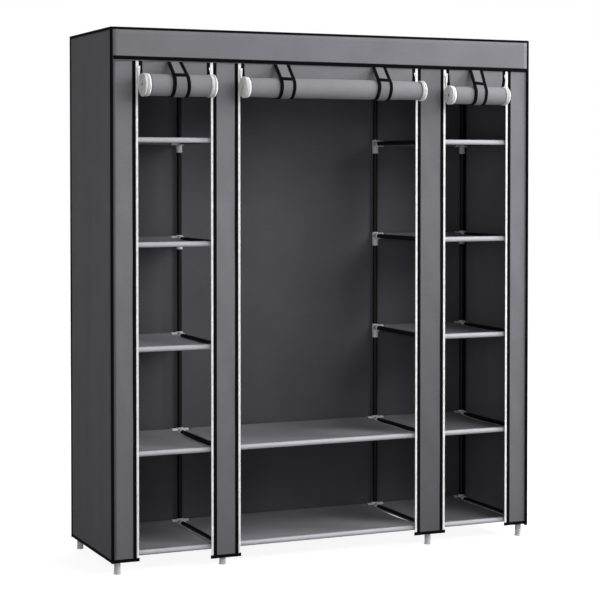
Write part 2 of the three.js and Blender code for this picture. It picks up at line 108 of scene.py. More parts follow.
# %% How the cloth hangs in the photograph
# How far each opening's two edges hang beside where the solids have them
ASIDE = {"left": (0.0050, 0.0060), "centre": (0.0056, -0.0070), "right": (0.0050, -0.0030)}
DOORS = {
    "left": (-0.6640 + ASIDE["left"][0], -0.4225 + ASIDE["left"][1]),
    "centre": (-0.3215 + ASIDE["centre"][0], 0.3215 + ASIDE["centre"][1]),
    "right": (0.4225 + ASIDE["right"][0], 0.6640 + ASIDE["right"][1]),
}
STRIPS = {
    "left_outer": (-0.7407, DOORS["left"][0] - ZIP, [1]),
    "left_inner": (DOORS["left"][1] + ZIP, DOORS["centre"][0] - ZIP, [-1, 1]),
    "right_inner": (DOORS["centre"][1] + ZIP, DOORS["right"][0] - ZIP, [-1, 1]),
    "right_outer": (DOORS["right"][1] + ZIP, 0.7407, [-1]),
}
# A roll's two ends, its radius, how far it hangs above or below the others, the width of
# its zip tape and the share of the radius that its cloth loses toward the ends
ROLLS = {
    "left": (-0.6590, -0.4210, 0.0355, 0.0045, 0.0190, 0.00),
    "centre": (-0.3210, 0.3228, 0.0328, 0.0028, 0.0145, 0.07),
    "right": (0.4205, 0.6420, 0.0308, -0.0090, 0.0135, 0.02),
}
# A strap's middle and width behind the header, both again in front of the roll, and the
# height of its bar
STRAPS = {
    "strap_left": ("left", (-0.5387, 0.0505), (-0.5400, 0.0600), 1.5607),
    "strap_centre_1": ("centre", (-0.1731, 0.0565), (-0.1790, 0.0550), 1.5564),
    "strap_centre_2": ("centre", (0.1770, 0.0510), (0.1653, 0.0550), 1.5599),
    "strap_right": ("right", (0.5423, 0.0533), (0.5275, 0.0505), 1.5563),
}
# How far a door's two edges are drawn in as they go into its roll, how far below the
# cover's hem each strip's own hem hangs, and how far the header's edge rises at its left end
# and falls at its right
DRAWN_IN = {"left": (0.001, 0.002), "centre": (0.002, 0.003), "right": (0.002, 0.007)}
HEM_DROPS = {"left_outer": 0.0, "left_inner": 0.014, "right_inner": 0.001, "right_outer": -0.004}
HEADER_RISE, HEADER_FALL = 0.002, 0.005

# %% [markdown]
# ## The camera
# The photograph was taken from the left front with a long lens, a little above the middle
# of the wardrobe, and its upright lines stay almost parallel. That is a camera that looks
# down by only one and a half degrees and is shifted for the rest, which is how furniture is shown.

# %% The camera at the photograph's place
CAMERA_AT = (-2.3895, -5.4151 + SETBACK, 1.2652)
CAMERA_HEADING, CAMERA_DIP = math.radians(23.713), math.radians(1.502)
camera_data = bpy.data.cameras.new("photo_camera")
camera_data.sensor_width = 36.0
camera_data.lens = 104.814
camera_data.shift_y = -0.14
camera_data.clip_start, camera_data.clip_end = 0.1, 60.0
camera = bpy.data.objects.new("photo_camera", camera_data)
camera.location = CAMERA_AT
camera.rotation_euler = Euler((math.pi / 2 - CAMERA_DIP, 0.0, -CAMERA_HEADING), "XYZ")
bpy.context.scene.collection.objects.link(camera)
bpy.context.scene.camera = camera
print("camera at", CAMERA_AT)

# %% [markdown]
# ## Surfaces from grids
# Nearly everything here is one idea: a grid of points, worked out as whole arrays, whose
# neighbours are joined by faces. A tube is a circle carried along a line, a foot is a
# profile turned about its axis, and a sheet is the grid itself. A part is kept as its
# points, its faces and their places on the cloth (UV) in metres, so a weave has its true
# scale wherever the cloth bends.

# %% Grids into parts
def patch(grid, close_rows=False, close_columns=False):
    """A part from a grid of points (rows, columns, 3). Face (i, j) joins point (i, j) with
    (i+1, j), (i+1, j+1) and (i, j+1), and a closed direction joins its last line to its
    first. U and V are the mean distances along the columns and the rows."""
    grid = np.asarray(grid, float)
    rows, columns = grid.shape[:2]
    row_loop = np.concatenate([grid, grid[:1]]) if close_rows else grid
    column_loop = np.concatenate([grid, grid[:, :1]], axis=1) if close_columns else grid
    row_steps = np.linalg.norm(np.diff(row_loop, axis=0), axis=2).mean(axis=1)
    column_steps = np.linalg.norm(np.diff(column_loop, axis=1), axis=2).mean(axis=0)
    v = np.concatenate([[0.0], np.cumsum(row_steps)])
    u = np.concatenate([[0.0], np.cumsum(column_steps)])
    i, j = np.meshgrid(np.arange(len(row_steps)), np.arange(len(column_steps)), indexing="ij")
    corners = [(i, j), (i + 1, j), (i + 1, j + 1), (i, j + 1)]
    faces = np.stack([(a % rows) * columns + b % columns for a, b in corners], -1)
    uv = np.stack([np.stack([u[b], v[a]], -1) for a, b in corners], -2)
    return {
        "points": grid.reshape(-1, 3),
        "faces": [(faces.reshape(-1, 4), uv.reshape(-1, 4, 2))],
    }


def outward(part):
    """Turns a closed part's faces outward: the sum of a . (b x c) over its triangles is six
    times its volume, and less than nothing where the faces point in."""
    p = part["points"] - part["points"].mean(axis=0)
    volume = 0.0
    for faces, _ in part["faces"]:
        for k in range(1, faces.shape[1] - 1):
            a, b, c = p[faces[:, 0]], p[faces[:, k]], p[faces[:, k + 1]]
            volume += np.einsum("ij,ij->", a, np.cross(b, c))
    if volume < 0:
        part["faces"] = [(f[:, ::-1], uv[:, ::-1]) for f, uv in part["faces"]]
    return part


def unit(vectors):
    """The vectors with their lengths made 1."""
    return vectors / np.linalg.norm(vectors, axis=-1, keepdims=True)


def closed_off(part, first, last):
    """The part with flat faces over its first and last rings of points. The two outlines
    are the places of those faces' corners on the cloth."""
    ring = np.arange(len(first))[None]
    top = len(part["points"]) - len(first)
    part["faces"] += [(ring[:, ::-1], first[None, ::-1]), (ring + top, last[None])]
    return outward(part)


def swept(path, profile, side):
    """A closed profile carried along a path: point (i, j) is path[i] + a s + b n, where
    (a, b) is the profile's point j, s is the side direction made square to the path, and n
    is square to both. Flat caps close its ends."""
    path, profile, side = (np.asarray(v, float) for v in (path, profile, side))
    along = unit(np.gradient(path, axis=0))
    across = unit(side - (along @ side)[:, None] * along)
    up = np.cross(along, across)
    grid = path[:, None] + profile[:, 0, None] * across[:, None] + profile[:, 1, None] * up[:, None]
    return closed_off(patch(grid, close_columns=True), profile, profile)


def turned(profile, centre, axis, sides=32):
    """A profile of (radius, distance) pairs turned about an axis: point (i, j) lies at that
    distance along the axis and that radius from it, at angle j of the turn."""
    axis = unit(np.asarray(axis, float))
    side = unit(np.cross(axis, np.eye(3)[np.argmin(np.abs(axis))]))
    other = np.cross(axis, side)
    angle = np.linspace(0, 2 * np.pi, sides, endpoint=False)
    ring = np.cos(angle)[:, None] * side + np.sin(angle)[:, None] * other
    radius, distance = np.asarray(profile, float).T
    grid = np.asarray(centre, float) + radius[:, None, None] * ring + distance[:, None, None] * axis
    flat = np.stack([np.cos(angle), np.sin(angle)], -1)
    return closed_off(patch(grid, close_columns=True), radius[0] * flat, radius[-1] * flat)


def rounded(width, height, radius, steps=4):
    """The outline of a bar of that width and height whose corners are quarter circles."""
    turn = np.linspace(0, np.pi / 2, steps)
    corner = radius * np.stack([np.cos(turn), np.sin(turn)], -1)
    reach = np.array([width / 2 - radius, height / 2 - radius])
    quarters = []
    for quarter, signs in enumerate([(1, 1), (-1, 1), (-1, -1), (1, -1)]):
        c, s = math.cos(quarter * math.pi / 2), math.sin(quarter * math.pi / 2)
        quarters.append(corner @ np.array([[c, s], [-s, c]]) + reach * signs)
    return np.concatenate(quarters)


def line(start, end, points=2):
    """Evenly spaced points from start to end."""
    share = np.linspace(0, 1, points)[:, None]
    return np.asarray(start, float) * (1 - share) + np.asarray(end, float) * share


test_bar = swept(line((0, 0, 0), (0, 0, 1)), rounded(1, 1, 0.2), (1, 0, 0))
print("a test bar has", len(test_bar["points"]), "points")

# %% Parts into pieces
def piece(name, parts, finish, body="root", stands_for=(), thickness=0.0, crease=40):
    """One object from several parts. Every point is moved back by SETBACK, a sheet gets its thickness from
    Solidify, and edges sharper than crease degrees stay crisp. The finish is its material, and stands_for
    says which solids it takes the place of."""
    points = np.concatenate([p["points"] for p in parts]) + [0, SETBACK, 0]
    starts = np.cumsum([0] + [len(p["points"]) for p in parts])
    groups = [(f + s, uv) for p, s in zip(parts, starts) for f, uv in p["faces"]]
    sizes = np.concatenate([np.full(len(f), f.shape[1]) for f, _ in groups])
    corners = np.concatenate([f.ravel() for f, _ in groups]).astype(np.int32)
    mesh = bpy.data.meshes.new(name)
    mesh.vertices.add(len(points))
    mesh.vertices.foreach_set("co", points.astype(np.float32).ravel())
    mesh.loops.add(len(corners))
    mesh.loops.foreach_set("vertex_index", corners)
    mesh.polygons.add(len(sizes))
    first = np.concatenate([[0], np.cumsum(sizes)[:-1]]).astype(np.int32)
    mesh.polygons.foreach_set("loop_start", first)
    mesh.polygons.foreach_set("use_smooth", np.ones(len(sizes), bool))
    layer = mesh.uv_layers.new(name="cloth")
    uv = np.concatenate([uv.reshape(-1, 2) for _, uv in groups])
    layer.data.foreach_set("uv", uv.astype(np.float32).ravel())
    mesh.update(calc_edges=True)
    mesh.validate()
    mesh.set_sharp_from_angle(angle=math.radians(crease))
    mesh.materials.append(finish)
    made = bpy.data.objects.new(name, mesh)
    bpy.context.scene.collection.objects.link(made)
    if thickness:
        solidify = made.modifiers.new("thickness", "SOLIDIFY")
        solidify.thickness, solidify.offset = thickness, 0.0
    if stands_for:
        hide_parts(*stands_for)
    if body:
        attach(made, body)
    return made


def repeated(shape, faces, origins, x_axes, y_axes, z_axes):
    """Many copies of one small shape as one part: copy k of point p is
    origin k + p.x X + p.y Y + p.z Z, with the axes of place k."""
    shape, faces = np.asarray(shape, float), np.asarray(faces)
    axes = np.stack([x_axes, y_axes, z_axes], axis=1)
    points = origins[:, None] + np.einsum("pc,kcd->kpd", shape, axes)
    all_faces = faces[None] + len(shape) * np.arange(len(origins))[:, None, None]
    all_faces = all_faces.reshape(-1, faces.shape[1])
    return {
        "points": points.reshape(-1, 3),
        "faces": [(all_faces, np.zeros((*all_faces.shape, 2)))],
    }


# %% [markdown]
# ## Finishes
# The cover is bonded cloth: fibres pressed together in a grid of tiny points, matt, with a
# slightly uneven grey. It could be an image, but nodes keep it sharp at any distance. The
# pattern reads the cloth's own UV, which is in metres, so a fibre and a bond point have
# their true size. The same few helpers make the ribbed binding tape, the painted tube and
# the moulded plastics.


def finish(name, slot, colour, roughness, **sockets):
    """A new material, its nodes and its shader. Plain numbers are set on the shader's own sockets. The slot
    is not used."""
    material = bpy.data.materials.new(name)
    material.use_nodes = True
    shader = material.node_tree.nodes["Principled BSDF"]
    shader.inputs["Base Color"].default_value = (*colour, 1)
    shader.inputs["Roughness"].default_value = roughness
    for socket, value in sockets.items():
        shader.inputs[socket.replace("_", " ")].default_value = value
    material.diffuse_color = (*colour, 1)
    return material, material.node_tree, shader


def node(tree, kind, inputs=None, **settings):
    """A node of that kind with its settings. An input is a plain value, or the output of
    another node that is linked to it."""
    made = tree.nodes.new(kind)
    for key, value in settings.items():
        setattr(made, key, value)
    for key, value in (inputs or {}).items():
        if isinstance(value, bpy.types.NodeSocket):
            tree.links.new(value, made.inputs[key])
        else:
            made.inputs[key].default_value = value
    return made


def maths(tree, operation, *values):
    """One sum, product or other step between values."""
    return node(tree, "ShaderNodeMath", dict(enumerate(values)), operation=operation).outputs[0]


def mapped(tree, value, span=(0.0, 1.0), onto=(0.0, 1.0), **settings):
    """A value carried from one span onto another and held inside it."""
    inputs = dict(zip(("From Min", "From Max", "To Min", "To Max"), (*span, *onto)))
    return node(tree, "ShaderNodeMapRange", {"Value": value, **inputs}, **settings).outputs["Result"]


def placed(tree, space, scale=(1, 1, 1)):
    """Texture coordinates in the piece's UV or Object space, scaled along each axis."""
    where = node(tree, "ShaderNodeTexCoord").outputs[space]
    return node(tree, "ShaderNodeMapping", {"Vector": where, "Scale": scale}).outputs["Vector"]


def noise(tree, vector, scale, detail, distortion=0.0):
    """A noise from 0 to 1, with that many lumps to the metre."""
    inputs = {"Vector": vector, "Scale": scale, "Detail": detail, "Distortion": distortion}
    return node(tree, "ShaderNodeTexNoise", inputs).outputs["Fac"]


def varied(tree, shader, colour, vector, scale, spread, detail=3.0):
    """The colour, lighter and darker by spread where a noise is high and low."""
    ramp = node(tree, "ShaderNodeValToRGB", {"Fac": noise(tree, vector, scale, detail)})
    ends = zip(ramp.color_ramp.elements, (0.3, 0.7), (1 - spread, 1 + spread))
    for element, position, share in ends:
        element.position = position
        element.color = (*[c * share for c in colour], 1)
    tree.links.new(ramp.outputs["Color"], shader.inputs["Base Color"])


def toned(tree, shader, factor):
    """The shader's colour as it stands, times a factor."""
    colour = shader.inputs["Base Color"].links[0].from_socket
    scaled = node(tree, "ShaderNodeVectorMath", {0: colour, "Scale": factor}, operation="SCALE")
    tree.links.new(scaled.outputs[0], shader.inputs["Base Color"])


def bumped(tree, shader, height, strength, distance, before=None):
    """Bump from a height, on top of an earlier bump where there is one."""
    inputs = {"Height": height, "Strength": strength, "Distance": distance}
    if before:
        inputs["Normal"] = before.outputs["Normal"]
    bump = node(tree, "ShaderNodeBump", inputs)
    tree.links.new(bump.outputs["Normal"], shader.inputs["Normal"])
    return bump


# %% Bonded cloth
def bonded_cloth(name, slot, colour, at_hem=0.74):
    """Bonded cloth: a long-fibred noise and a square grid of pressed points, 1.5 mm apart, both as bump, on a
    grey that drifts a little over a hand's breadth. Below a metre it darkens as painted shade, to the share
    at_hem of its colour near the hem."""
    soft = {"Sheen_Weight": 0.06, "Sheen_Roughness": 0.6, "Specular_IOR_Level": 0.2}
    material, tree, shader = finish(name, slot, colour, 0.92, **soft)
    metres = placed(tree, "UV")
    varied(tree, shader, colour, metres, 7.0, 0.07, 6.0)
    uneven = mapped(tree, noise(tree, metres, 150.0, 3.0), onto=(0.90, 1.10))
    # Painted shade: below a metre the colour darkens toward the hem, where less light falls
    height = node(tree, "ShaderNodeSeparateXYZ", {0: placed(tree, "Object")}).outputs["Z"]
    painted_shade_below = mapped(tree, height, (0.1, 1.0), (at_hem, 1.0))
    toned(tree, shader, maths(tree, "MULTIPLY", uneven, painted_shade_below))
    fibres = noise(tree, placed(tree, "UV", (0.35, 1, 1)), 900.0, 5.0, 1.5)
    first = bumped(tree, shader, fibres, 0.35, 0.0004)
    grid = {"Vector": metres, "Scale": 670.0, "Randomness": 0.0}
    points = node(tree, "ShaderNodeTexVoronoi", grid, distance="CHEBYCHEV").outputs["Distance"]
    bumped(tree, shader, mapped(tree, points, (0.16, 0.3)), 0.35, 0.0003, first)
    return material


# In the photograph the right divider, the sides and the back are darker than the rest of the cover; here they
# get darker copies of the same grey cloth, as painted shade. The reverse, which the rolls show, and the
# shelves are lighter.
grey_cloth = bonded_cloth("bonded_grey_cloth", "grey_cloth", (0.180, 0.1775, 0.196))
shaded_divider_cloth = bonded_cloth("bonded_grey_cloth_painted_shade", "grey_cloth", (0.140, 0.138, 0.152), at_hem=0.66)
shaded_side_cloth = bonded_cloth("bonded_side_cloth_painted_shade", "grey_cloth", (0.119, 0.117, 0.130))
shaded_back_cloth = bonded_cloth("bonded_back_cloth_painted_shade", "grey_cloth", (0.109, 0.107, 0.123))
reverse_cloth = bonded_cloth("bonded_cloth_reverse", "pale_cloth", (0.236, 0.233, 0.252))
shelf_cloth = bonded_cloth("bonded_shelf_cloth", "pale_cloth", (0.226, 0.223, 0.244), at_hem=1.0)
hem_cloth = bonded_cloth("bonded_shelf_hem", "pale_cloth", (0.75, 0.745, 0.78), at_hem=1.0)

# %% Painted highlight: the shelf cloth is paler over the outside of its front and rear sleeves
tree = shelf_cloth.node_tree
depth = node(tree, "ShaderNodeSeparateXYZ", {0: placed(tree, "Object")}).outputs["Y"]
from_middle = maths(tree, "ABSOLUTE", maths(tree, "SUBTRACT", depth, SETBACK))
painted_highlight = mapped(tree, from_middle, (UPRIGHT_Y + 0.0025, UPRIGHT_Y + 0.0065), (1.0, 2.2))
toned(tree, tree.nodes["Principled BSDF"], painted_highlight)


# %% Binding tape, zip tape and thread
def ribbed_tape(name, slot, colour, rib, roughness):
    """Woven tape: ribs across its length, rib metres apart, with a fine thread noise."""
    material, tree, shader = finish(name, slot, colour, roughness, Specular_IOR_Level=0.03)
    metres = placed(tree, "UV")
    varied(tree, shader, colour, metres, 60.0, 0.18)
    waves = {"Vector": metres, "Scale": 1 / (20 * rib), "Distortion": 0.6}
    ribs = node(tree, "ShaderNodeTexWave", waves, bands_direction="Y").outputs["Fac"]
    first = bumped(tree, shader, ribs, 0.5, 0.0004)
    bumped(tree, shader, noise(tree, metres, 1800.0, 3.0), 0.3, 0.0002, first)
    return material


binding_tape = ribbed_tape("black_binding_tape", "black_binding", (0.0034, 0.0034, 0.0038), 0.0009, 0.9)
zip_tape = ribbed_tape("white_zip_tape", "white_zip", (0.90, 0.90, 0.89), 0.0007, 0.75)
wound_tape = ribbed_tape("white_wound_zip_tape", "white_zip", (0.92, 0.92, 0.91), 0.0007, 0.75)
let_through = wound_tape.node_tree.nodes["Principled BSDF"].inputs
let_through["Subsurface Weight"].default_value = 0.85
let_through["Subsurface Radius"].default_value = (1.0, 1.0, 1.0)
let_through["Subsurface Scale"].default_value = 0.010
black_thread = ribbed_tape("black_thread", "black_binding", (0.009, 0.009, 0.0095), 0.0003, 0.8)
grey_thread = ribbed_tape("grey_thread", "pale_cloth", (0.13, 0.13, 0.135), 0.0003, 0.7)


# %% Painted tube and moulded plastics
def moulded(name, slot, colour, roughness, grain, **sockets):
    """Paint or plastic: an even colour that drifts a little, with a fine grain as bump."""
    material, tree, shader = finish(name, slot, colour, roughness, **sockets)
    metres = placed(tree, "Object")
    varied(tree, shader, colour, metres, 35.0, 0.06)
    rough = mapped(tree, noise(tree, metres, 90.0, 4.0), onto=(roughness - 0.06, roughness + 0.08))
    tree.links.new(rough, shader.inputs["Roughness"])
    bumped(tree, shader, noise(tree, metres, 1400.0, 2.0), grain, 0.0002)
    return material


black, plastic_grey, milky = (0.007, 0.007, 0.0075), (0.74, 0.74, 0.75), (0.60, 0.61, 0.62)
clear = {"Transmission_Weight": 0.25, "IOR": 1.45}
tube_paint = moulded("black_tube_paint", "black_tube", black, 0.50, 0.12, Specular_IOR_Level=0.12)
connector_plastic = moulded("grey_connector_plastic", "grey_connector", plastic_grey, 0.42, 0.15)
foot_plastic = moulded("milky_foot_plastic", "clear_foot", milky, 0.33, 0.1, **clear)
zip_teeth_plastic = moulded("white_zip_teeth", "white_zip", (0.92, 0.92, 0.91), 0.35, 0.08)
slider_enamel = moulded("white_slider_enamel", "white_metal", (0.78, 0.78, 0.78), 0.28, 0.08, Coat_Weight=0.3)
print("finishes:", len(bpy.data.materials))

# %% [markdown]
# ## Floor, background and light
# The photograph shows the wardrobe cut out on white. A pale floor that brightens into a
# white background does the same and still keeps the shadow under the feet. The main light
# is a big soft lamp well to the right of the front, so the left side is dark and inside only
# the left part of each bay is lit. A second one nearer the front lights the cloth and the
# rolls, a weak low one beside the camera opens the shadows, one far round to the left
# lights the ends of the rolls, and one behind shows the back. A little light comes from all
# round.

# %% White to the eye only
def white_to_the_eye(tree):
    """1 for rays that come straight from the camera, from gloss or through clear plastic,
    and 0 for the diffuse rays that would carry light onto the object."""
    rays = node(tree, "ShaderNodeLightPath").outputs
    seen = maths(tree, "MAXIMUM", rays["Is Camera Ray"], rays["Is Glossy Ray"])
    return maths(tree, "MAXIMUM", seen, rays["Is Transmission Ray"])


# %% The floor
floor_mesh = bpy.data.meshes.new("studio_floor")
floor_mesh.from_pydata([(-20, -20, 0), (20, -20, 0), (20, 20, 0), (-20, 20, 0)], [], [(0, 1, 2, 3)])
floor = bpy.data.objects.new("studio_floor", floor_mesh)
bpy.context.scene.collection.objects.link(floor)
floor_paint, tree, shader = finish("pale_floor", None, (0.25, 0.25, 0.25), 0.9, Specular_IOR_Level=0.0)
far = node(tree, "ShaderNodeVectorMath", {0: placed(tree, "Object")}, operation="LENGTH").outputs["Value"]
rise = mapped(tree, far, (1.0, 2.6), (0.91, 1.0), interpolation_type="SMOOTHSTEP")
lift = maths(tree, "MULTIPLY", white_to_the_eye(tree), rise)
glow = node(tree, "ShaderNodeEmission", {"Color": (1, 1, 1, 1), "Strength": lift})
both = node(tree, "ShaderNodeAddShader", {0: shader.outputs[0], 1: glow.outputs[0]})
tree.links.new(both.outputs[0], tree.nodes["Material Output"].inputs["Surface"])
floor_mesh.materials.append(floor_paint)

# %% The background
scene = bpy.context.scene
scene.view_settings.view_transform = "Standard"
world = bpy.data.worlds.new("studio")
world.use_nodes = True
scene.world = world
tree = world.node_tree
ambient = tree.nodes["Background"]
ambient.inputs["Color"].default_value = (0.96, 0.975, 1.0, 1)
ambient.inputs["Strength"].default_value = 0.20
white = node(tree, "ShaderNodeBackground", {"Color": (1, 1, 1, 1), "Strength": 1.0})
either = {"Fac": white_to_the_eye(tree), 1: ambient.outputs[0], 2: white.outputs[0]}
choose = node(tree, "ShaderNodeMixShader", either)
tree.links.new(choose.outputs[0], tree.nodes["World Output"].inputs["Surface"])


# %% The lamps
def soft_lamp(name, heading, height, distance, size, watts):
    """A square lamp at that heading and height, both in degrees as seen from a point 1.3 m
    up in the middle of the wardrobe, with 0 straight ahead and the right above 0."""
    turn, rise = math.radians(heading), math.radians(height)
    middle = Vector((0.0, 0.0, 1.3))
    away = Vector((math.sin(turn) * math.cos(rise), -math.cos(turn) * math.cos(rise), math.sin(rise)))
    data = bpy.data.lights.new(name, "AREA")
    data.size, data.energy = size, watts
    lamp = bpy.data.objects.new(name, data)
    lamp.location = middle + distance * away
    lamp.rotation_euler = (-away).to_track_quat("-Z", "Y").to_euler()
    bpy.context.scene.collection.objects.link(lamp)


soft_lamp("key_lamp", 75, 18, 4.6, 2.4, 340)
soft_lamp("front_lamp", 25, 22, 3.8, 2.0, 73)
soft_lamp("fill_lamp", -24, -3, 5.0, 2.0, 30)
soft_lamp("left_lamp", -65, 3, 5.0, 2.0, 28)
soft_lamp("rear_lamp", 165, 20, 5.0, 2.5, 110)
print("lamps:", len(bpy.data.lights))

# %% [markdown]
# ## Tubes, connectors and feet
# The real frame is black tube pushed into moulded grey connectors, on milky ribbed feet.
# The solid of one upright holds all of these as one eight-sided body. Here each material
# becomes its own piece: round tubes as circles carried along lines, connector arms turned
# with a lip at the mouth and a hollow bore, gussets as thin plates, and feet as a ribbed
# profile turned about the upright.

# %% Shapes of the frame's parts
def tube(start, end, radius=TUBE, soft=0.0008):
    """A round tube with softly broken ends, as a profile turned about its line."""
    start, end = np.asarray(start, float), np.asarray(end, float)
    length = np.linalg.norm(end - start)
    profile = [(radius - soft, 0), (radius, soft), (radius, length - soft), (radius - soft, length)]
    return turned(profile, start, end - start)


def socket_arm(centre, direction, depth=0.0097):
    """A connector's arm: from its middle out to a lipped mouth and back down its bore."""
    shank = [(SOCKET - 0.001, 0.0), (SOCKET, 0.002), (SOCKET, REACH - 0.006)]
    lip = [(SOCKET + LIP, REACH - 0.005), (SOCKET + LIP, REACH - 0.001), (SOCKET, REACH)]
    bore = [(BORE + 0.0004, REACH), (BORE, REACH - 0.0005), (BORE, depth)]
    return turned([*shank, *lip, *bore], centre, direction)


def sleeve(x, y, low, high, capped, cap=0.004):
    """A connector's sleeve round the upright: a tube between two lips. The top one is
    closed by a rounded cap."""
    top = [(SOCKET + LIP, high - 0.001), (SOCKET, high), (SNUG, high)]
    if capped:
        turn = np.linspace(0, np.pi / 2, 6)
        top = [(SOCKET - cap + cap * math.cos(a), high - cap + cap * math.sin(a)) for a in turn]
        top.append((0.0005, high))
    lip = [(SOCKET, low), (SOCKET + LIP, low + 0.001), (SOCKET + LIP, low + 0.005), (SOCKET, low + 0.006)]
    return turned([(SNUG, low), *lip, *top], (x, y, 0), (0, 0, 1))


def gusset(x, y, direction, size=0.017, half_thick=0.0015):
    """A thin three-cornered plate under an arm of the lowest connector."""
    low = LEVELS[0] - TUBE
    outline = np.array([(0.004, low), (0.004, low - size), (0.0095, low - size), (SOCKET + size, low)])
    direction = np.asarray(direction, float)
    across = np.array([-direction[1], direction[0], 0])
    middle = np.array([x, y, 0]) + outline[:, :1] * direction + outline[:, 1:] * [0, 0, 1]
    grid = np.stack([middle - half_thick * across, middle + half_thick * across])
    return closed_off(patch(grid, close_columns=True), outline, outline)


def foot(x, y):
    """A moulded foot: a pad, five shallow ribs and a neck that goes up to the connector."""
    heights = np.linspace(0.006, LEVELS[0] - SOCKET - 0.002, 61)
    ribs = 0.0100 + 0.0009 * np.maximum(0, np.sin(heights / 0.0085 * 2 * np.pi)) ** 0.6
    pad = [(0.0095, 0.0), (0.0112, 0.0006), (0.0115, 0.0015), (0.0115, 0.0045), (0.0108, 0.0052)]
    return turned([*pad, *zip(ribs, heights)], (x, y, 0), (0, 0, 1))


# %% The eight uprights
def upright_pieces(side, outer, front):
    """Tubes, connectors and foot of one upright, each as a piece of its own."""
    x = side * (OUTER_X if outer else INNER_X)
    y = -UPRIGHT_Y if front else UPRIGHT_Y
    inward = 1 if front else -1
    place = ("front" if front else "rear", "left" if side < 0 else "right", "outer" if outer else "inner")
    where = "_".join(place)
    ends = [0.02, *LEVELS[1:]]
    tubes = [tube((x, y, low + 0.001), (x, y, high - 0.001)) for low, high in zip(ends[:-1], ends[1:])]
    plastic = []
    for index, level in enumerate(LEVELS):
        top = index == TOP
        low = level - (SOCKET + 0.0005 if index == 0 else 0.035)
        high = level + (0.0165 if top else 0.013)
        plastic.append(sleeve(x, y, low, high, top))
        arms = [(-side, 0, 0)] if outer else [(side, 0, 0)]
        if not outer and (index < 2 or top):
            arms.append((-side, 0, 0))
        arms.append((0, inward, 0))
        for arm in arms:
            plastic.append(socket_arm((x, y, level), arm))
            if index == 0:
                plastic.append(gusset(x, y, arm))
        if front:
            tubes.append(tube((x, y + ROD_GAP, level), (x, UPRIGHT_Y - ROD_GAP, level)))
    if front and not outer:
        middle = (x, 0, LEVELS[TOP])
        ring = [(SNUG, -0.014), (SOCKET, -0.014), (SOCKET, 0.014), (SNUG, 0.014)]
        plastic += [turned(ring, middle, (0, 1, 0)), socket_arm(middle, (-side, 0, 0))]
    stands_for = [f"upright_{where}"]
    piece(f"tubes_{where}", tubes, tube_paint, stands_for=stands_for)
    piece(f"connectors_{where}", plastic, connector_plastic, stands_for=stands_for)
    piece(f"foot_{where}", [foot(x, y)], foot_plastic, stands_for=stands_for)


for side in (-1, 1):
    for outer in (True, False):
        for front in (True, False):
            upright_pieces(side, outer, front)
print("uprights done:", len(bpy.data.meshes), "meshes")

# %% Width rods at the top and the hanging rail
# Each bay's two uprights and its number of shelves
BAYS = {"left": (-OUTER_X, -INNER_X, 5), "centre": (-INNER_X, INNER_X, 2), "right": (INNER_X, OUTER_X, 5)}


def width_rod(low, high, y, level):
    """A tube across a bay, from socket to socket."""
    return tube((low + ROD_GAP, y, level), (high - ROD_GAP, y, level))


for bay, (low, high, _) in BAYS.items():
    for where, y in (("front", -UPRIGHT_Y), ("rear", UPRIGHT_Y)):
        rod = width_rod(low, high, y, LEVELS[TOP])
        piece(f"rod_{where}_{bay}", [rod], tube_paint, stands_for=[f"top_rod_{where}_{bay}"])
piece("rail_tube", [width_rod(-INNER_X, INNER_X, 0, LEVELS[TOP])], tube_paint, stands_for=["hanging_rail"])

# %% [markdown]
# ## Shelves
# A shelf is one length of cloth with a sleeve sewn at its front and back for the rods. The
# sheet between them hangs a little below the sleeves, so the tubes at its two free edges
# stand proud of it, and a paler hem is turned over each free edge. One line does it: round
# the front rod, across, and round the rear rod, then carried along the shelf's width.

# %% Cloth of one shelf
SHELF_CLOTH, SHEET_DROP, FREE_HEM = 0.0006, 0.0125, 0.003
SLEEVE = SNUG + SHELF_CLOTH / 2
SLEEVE_EDGE, SHEET_EDGE = REACH + 0.002, TUBE + 0.004
NOTCH_Y = UPRIGHT_Y - SOCKET - 0.002


def sheet_height(share):
    """The sheet's height over its level at that share of the way from the middle to a rod:
    flat and 4 mm below the rods' middle, then up to the sleeve's top at the ends."""
    return SLEEVE - SHEET_DROP * (1 - share**6)


def shelf_line(count=41):
    """The cloth's line from front to back as (y, z): each sleeve is a circle round its rod,
    from the seam under the sheet round to the top, and the sheet lies between them."""
    round_rod = np.radians(np.linspace(35, -288, 30))
    front = np.stack([-UPRIGHT_Y + SLEEVE * np.cos(round_rod), SLEEVE * np.sin(round_rod)], -1)
    seam = np.array([[-UPRIGHT_Y + 0.016, SLEEVE - 0.0061], [-UPRIGHT_Y + 0.010, SLEEVE - 0.0044]])
    edges = NOTCH_Y / UPRIGHT_Y + np.array([-0.002, 0.002])
    share = np.sort(np.concatenate([np.linspace(-0.94, 0.94, count), edges, -edges]))
    sheet = np.stack([share * UPRIGHT_Y, sheet_height(share)], -1)
    half = np.concatenate([seam, front])
    return np.concatenate([half, sheet, half[::-1] * [-1, 1]])


def slow_waves(x, y, seed):
    """How far the sheet dips or rises at (x, y): up to 1.5 mm in slow waves that fade out
    towards the sleeves."""
    share = np.clip(1 - (y / UPRIGHT_Y) ** 2, 0, 1)
    waves = 0.0011 * np.sin(x * 17 + seed) + 0.0007 * np.sin(x * 41 + 2 * seed + y * 9)
    return share * (waves + 0.0006 * np.sin(y * 30 + seed))


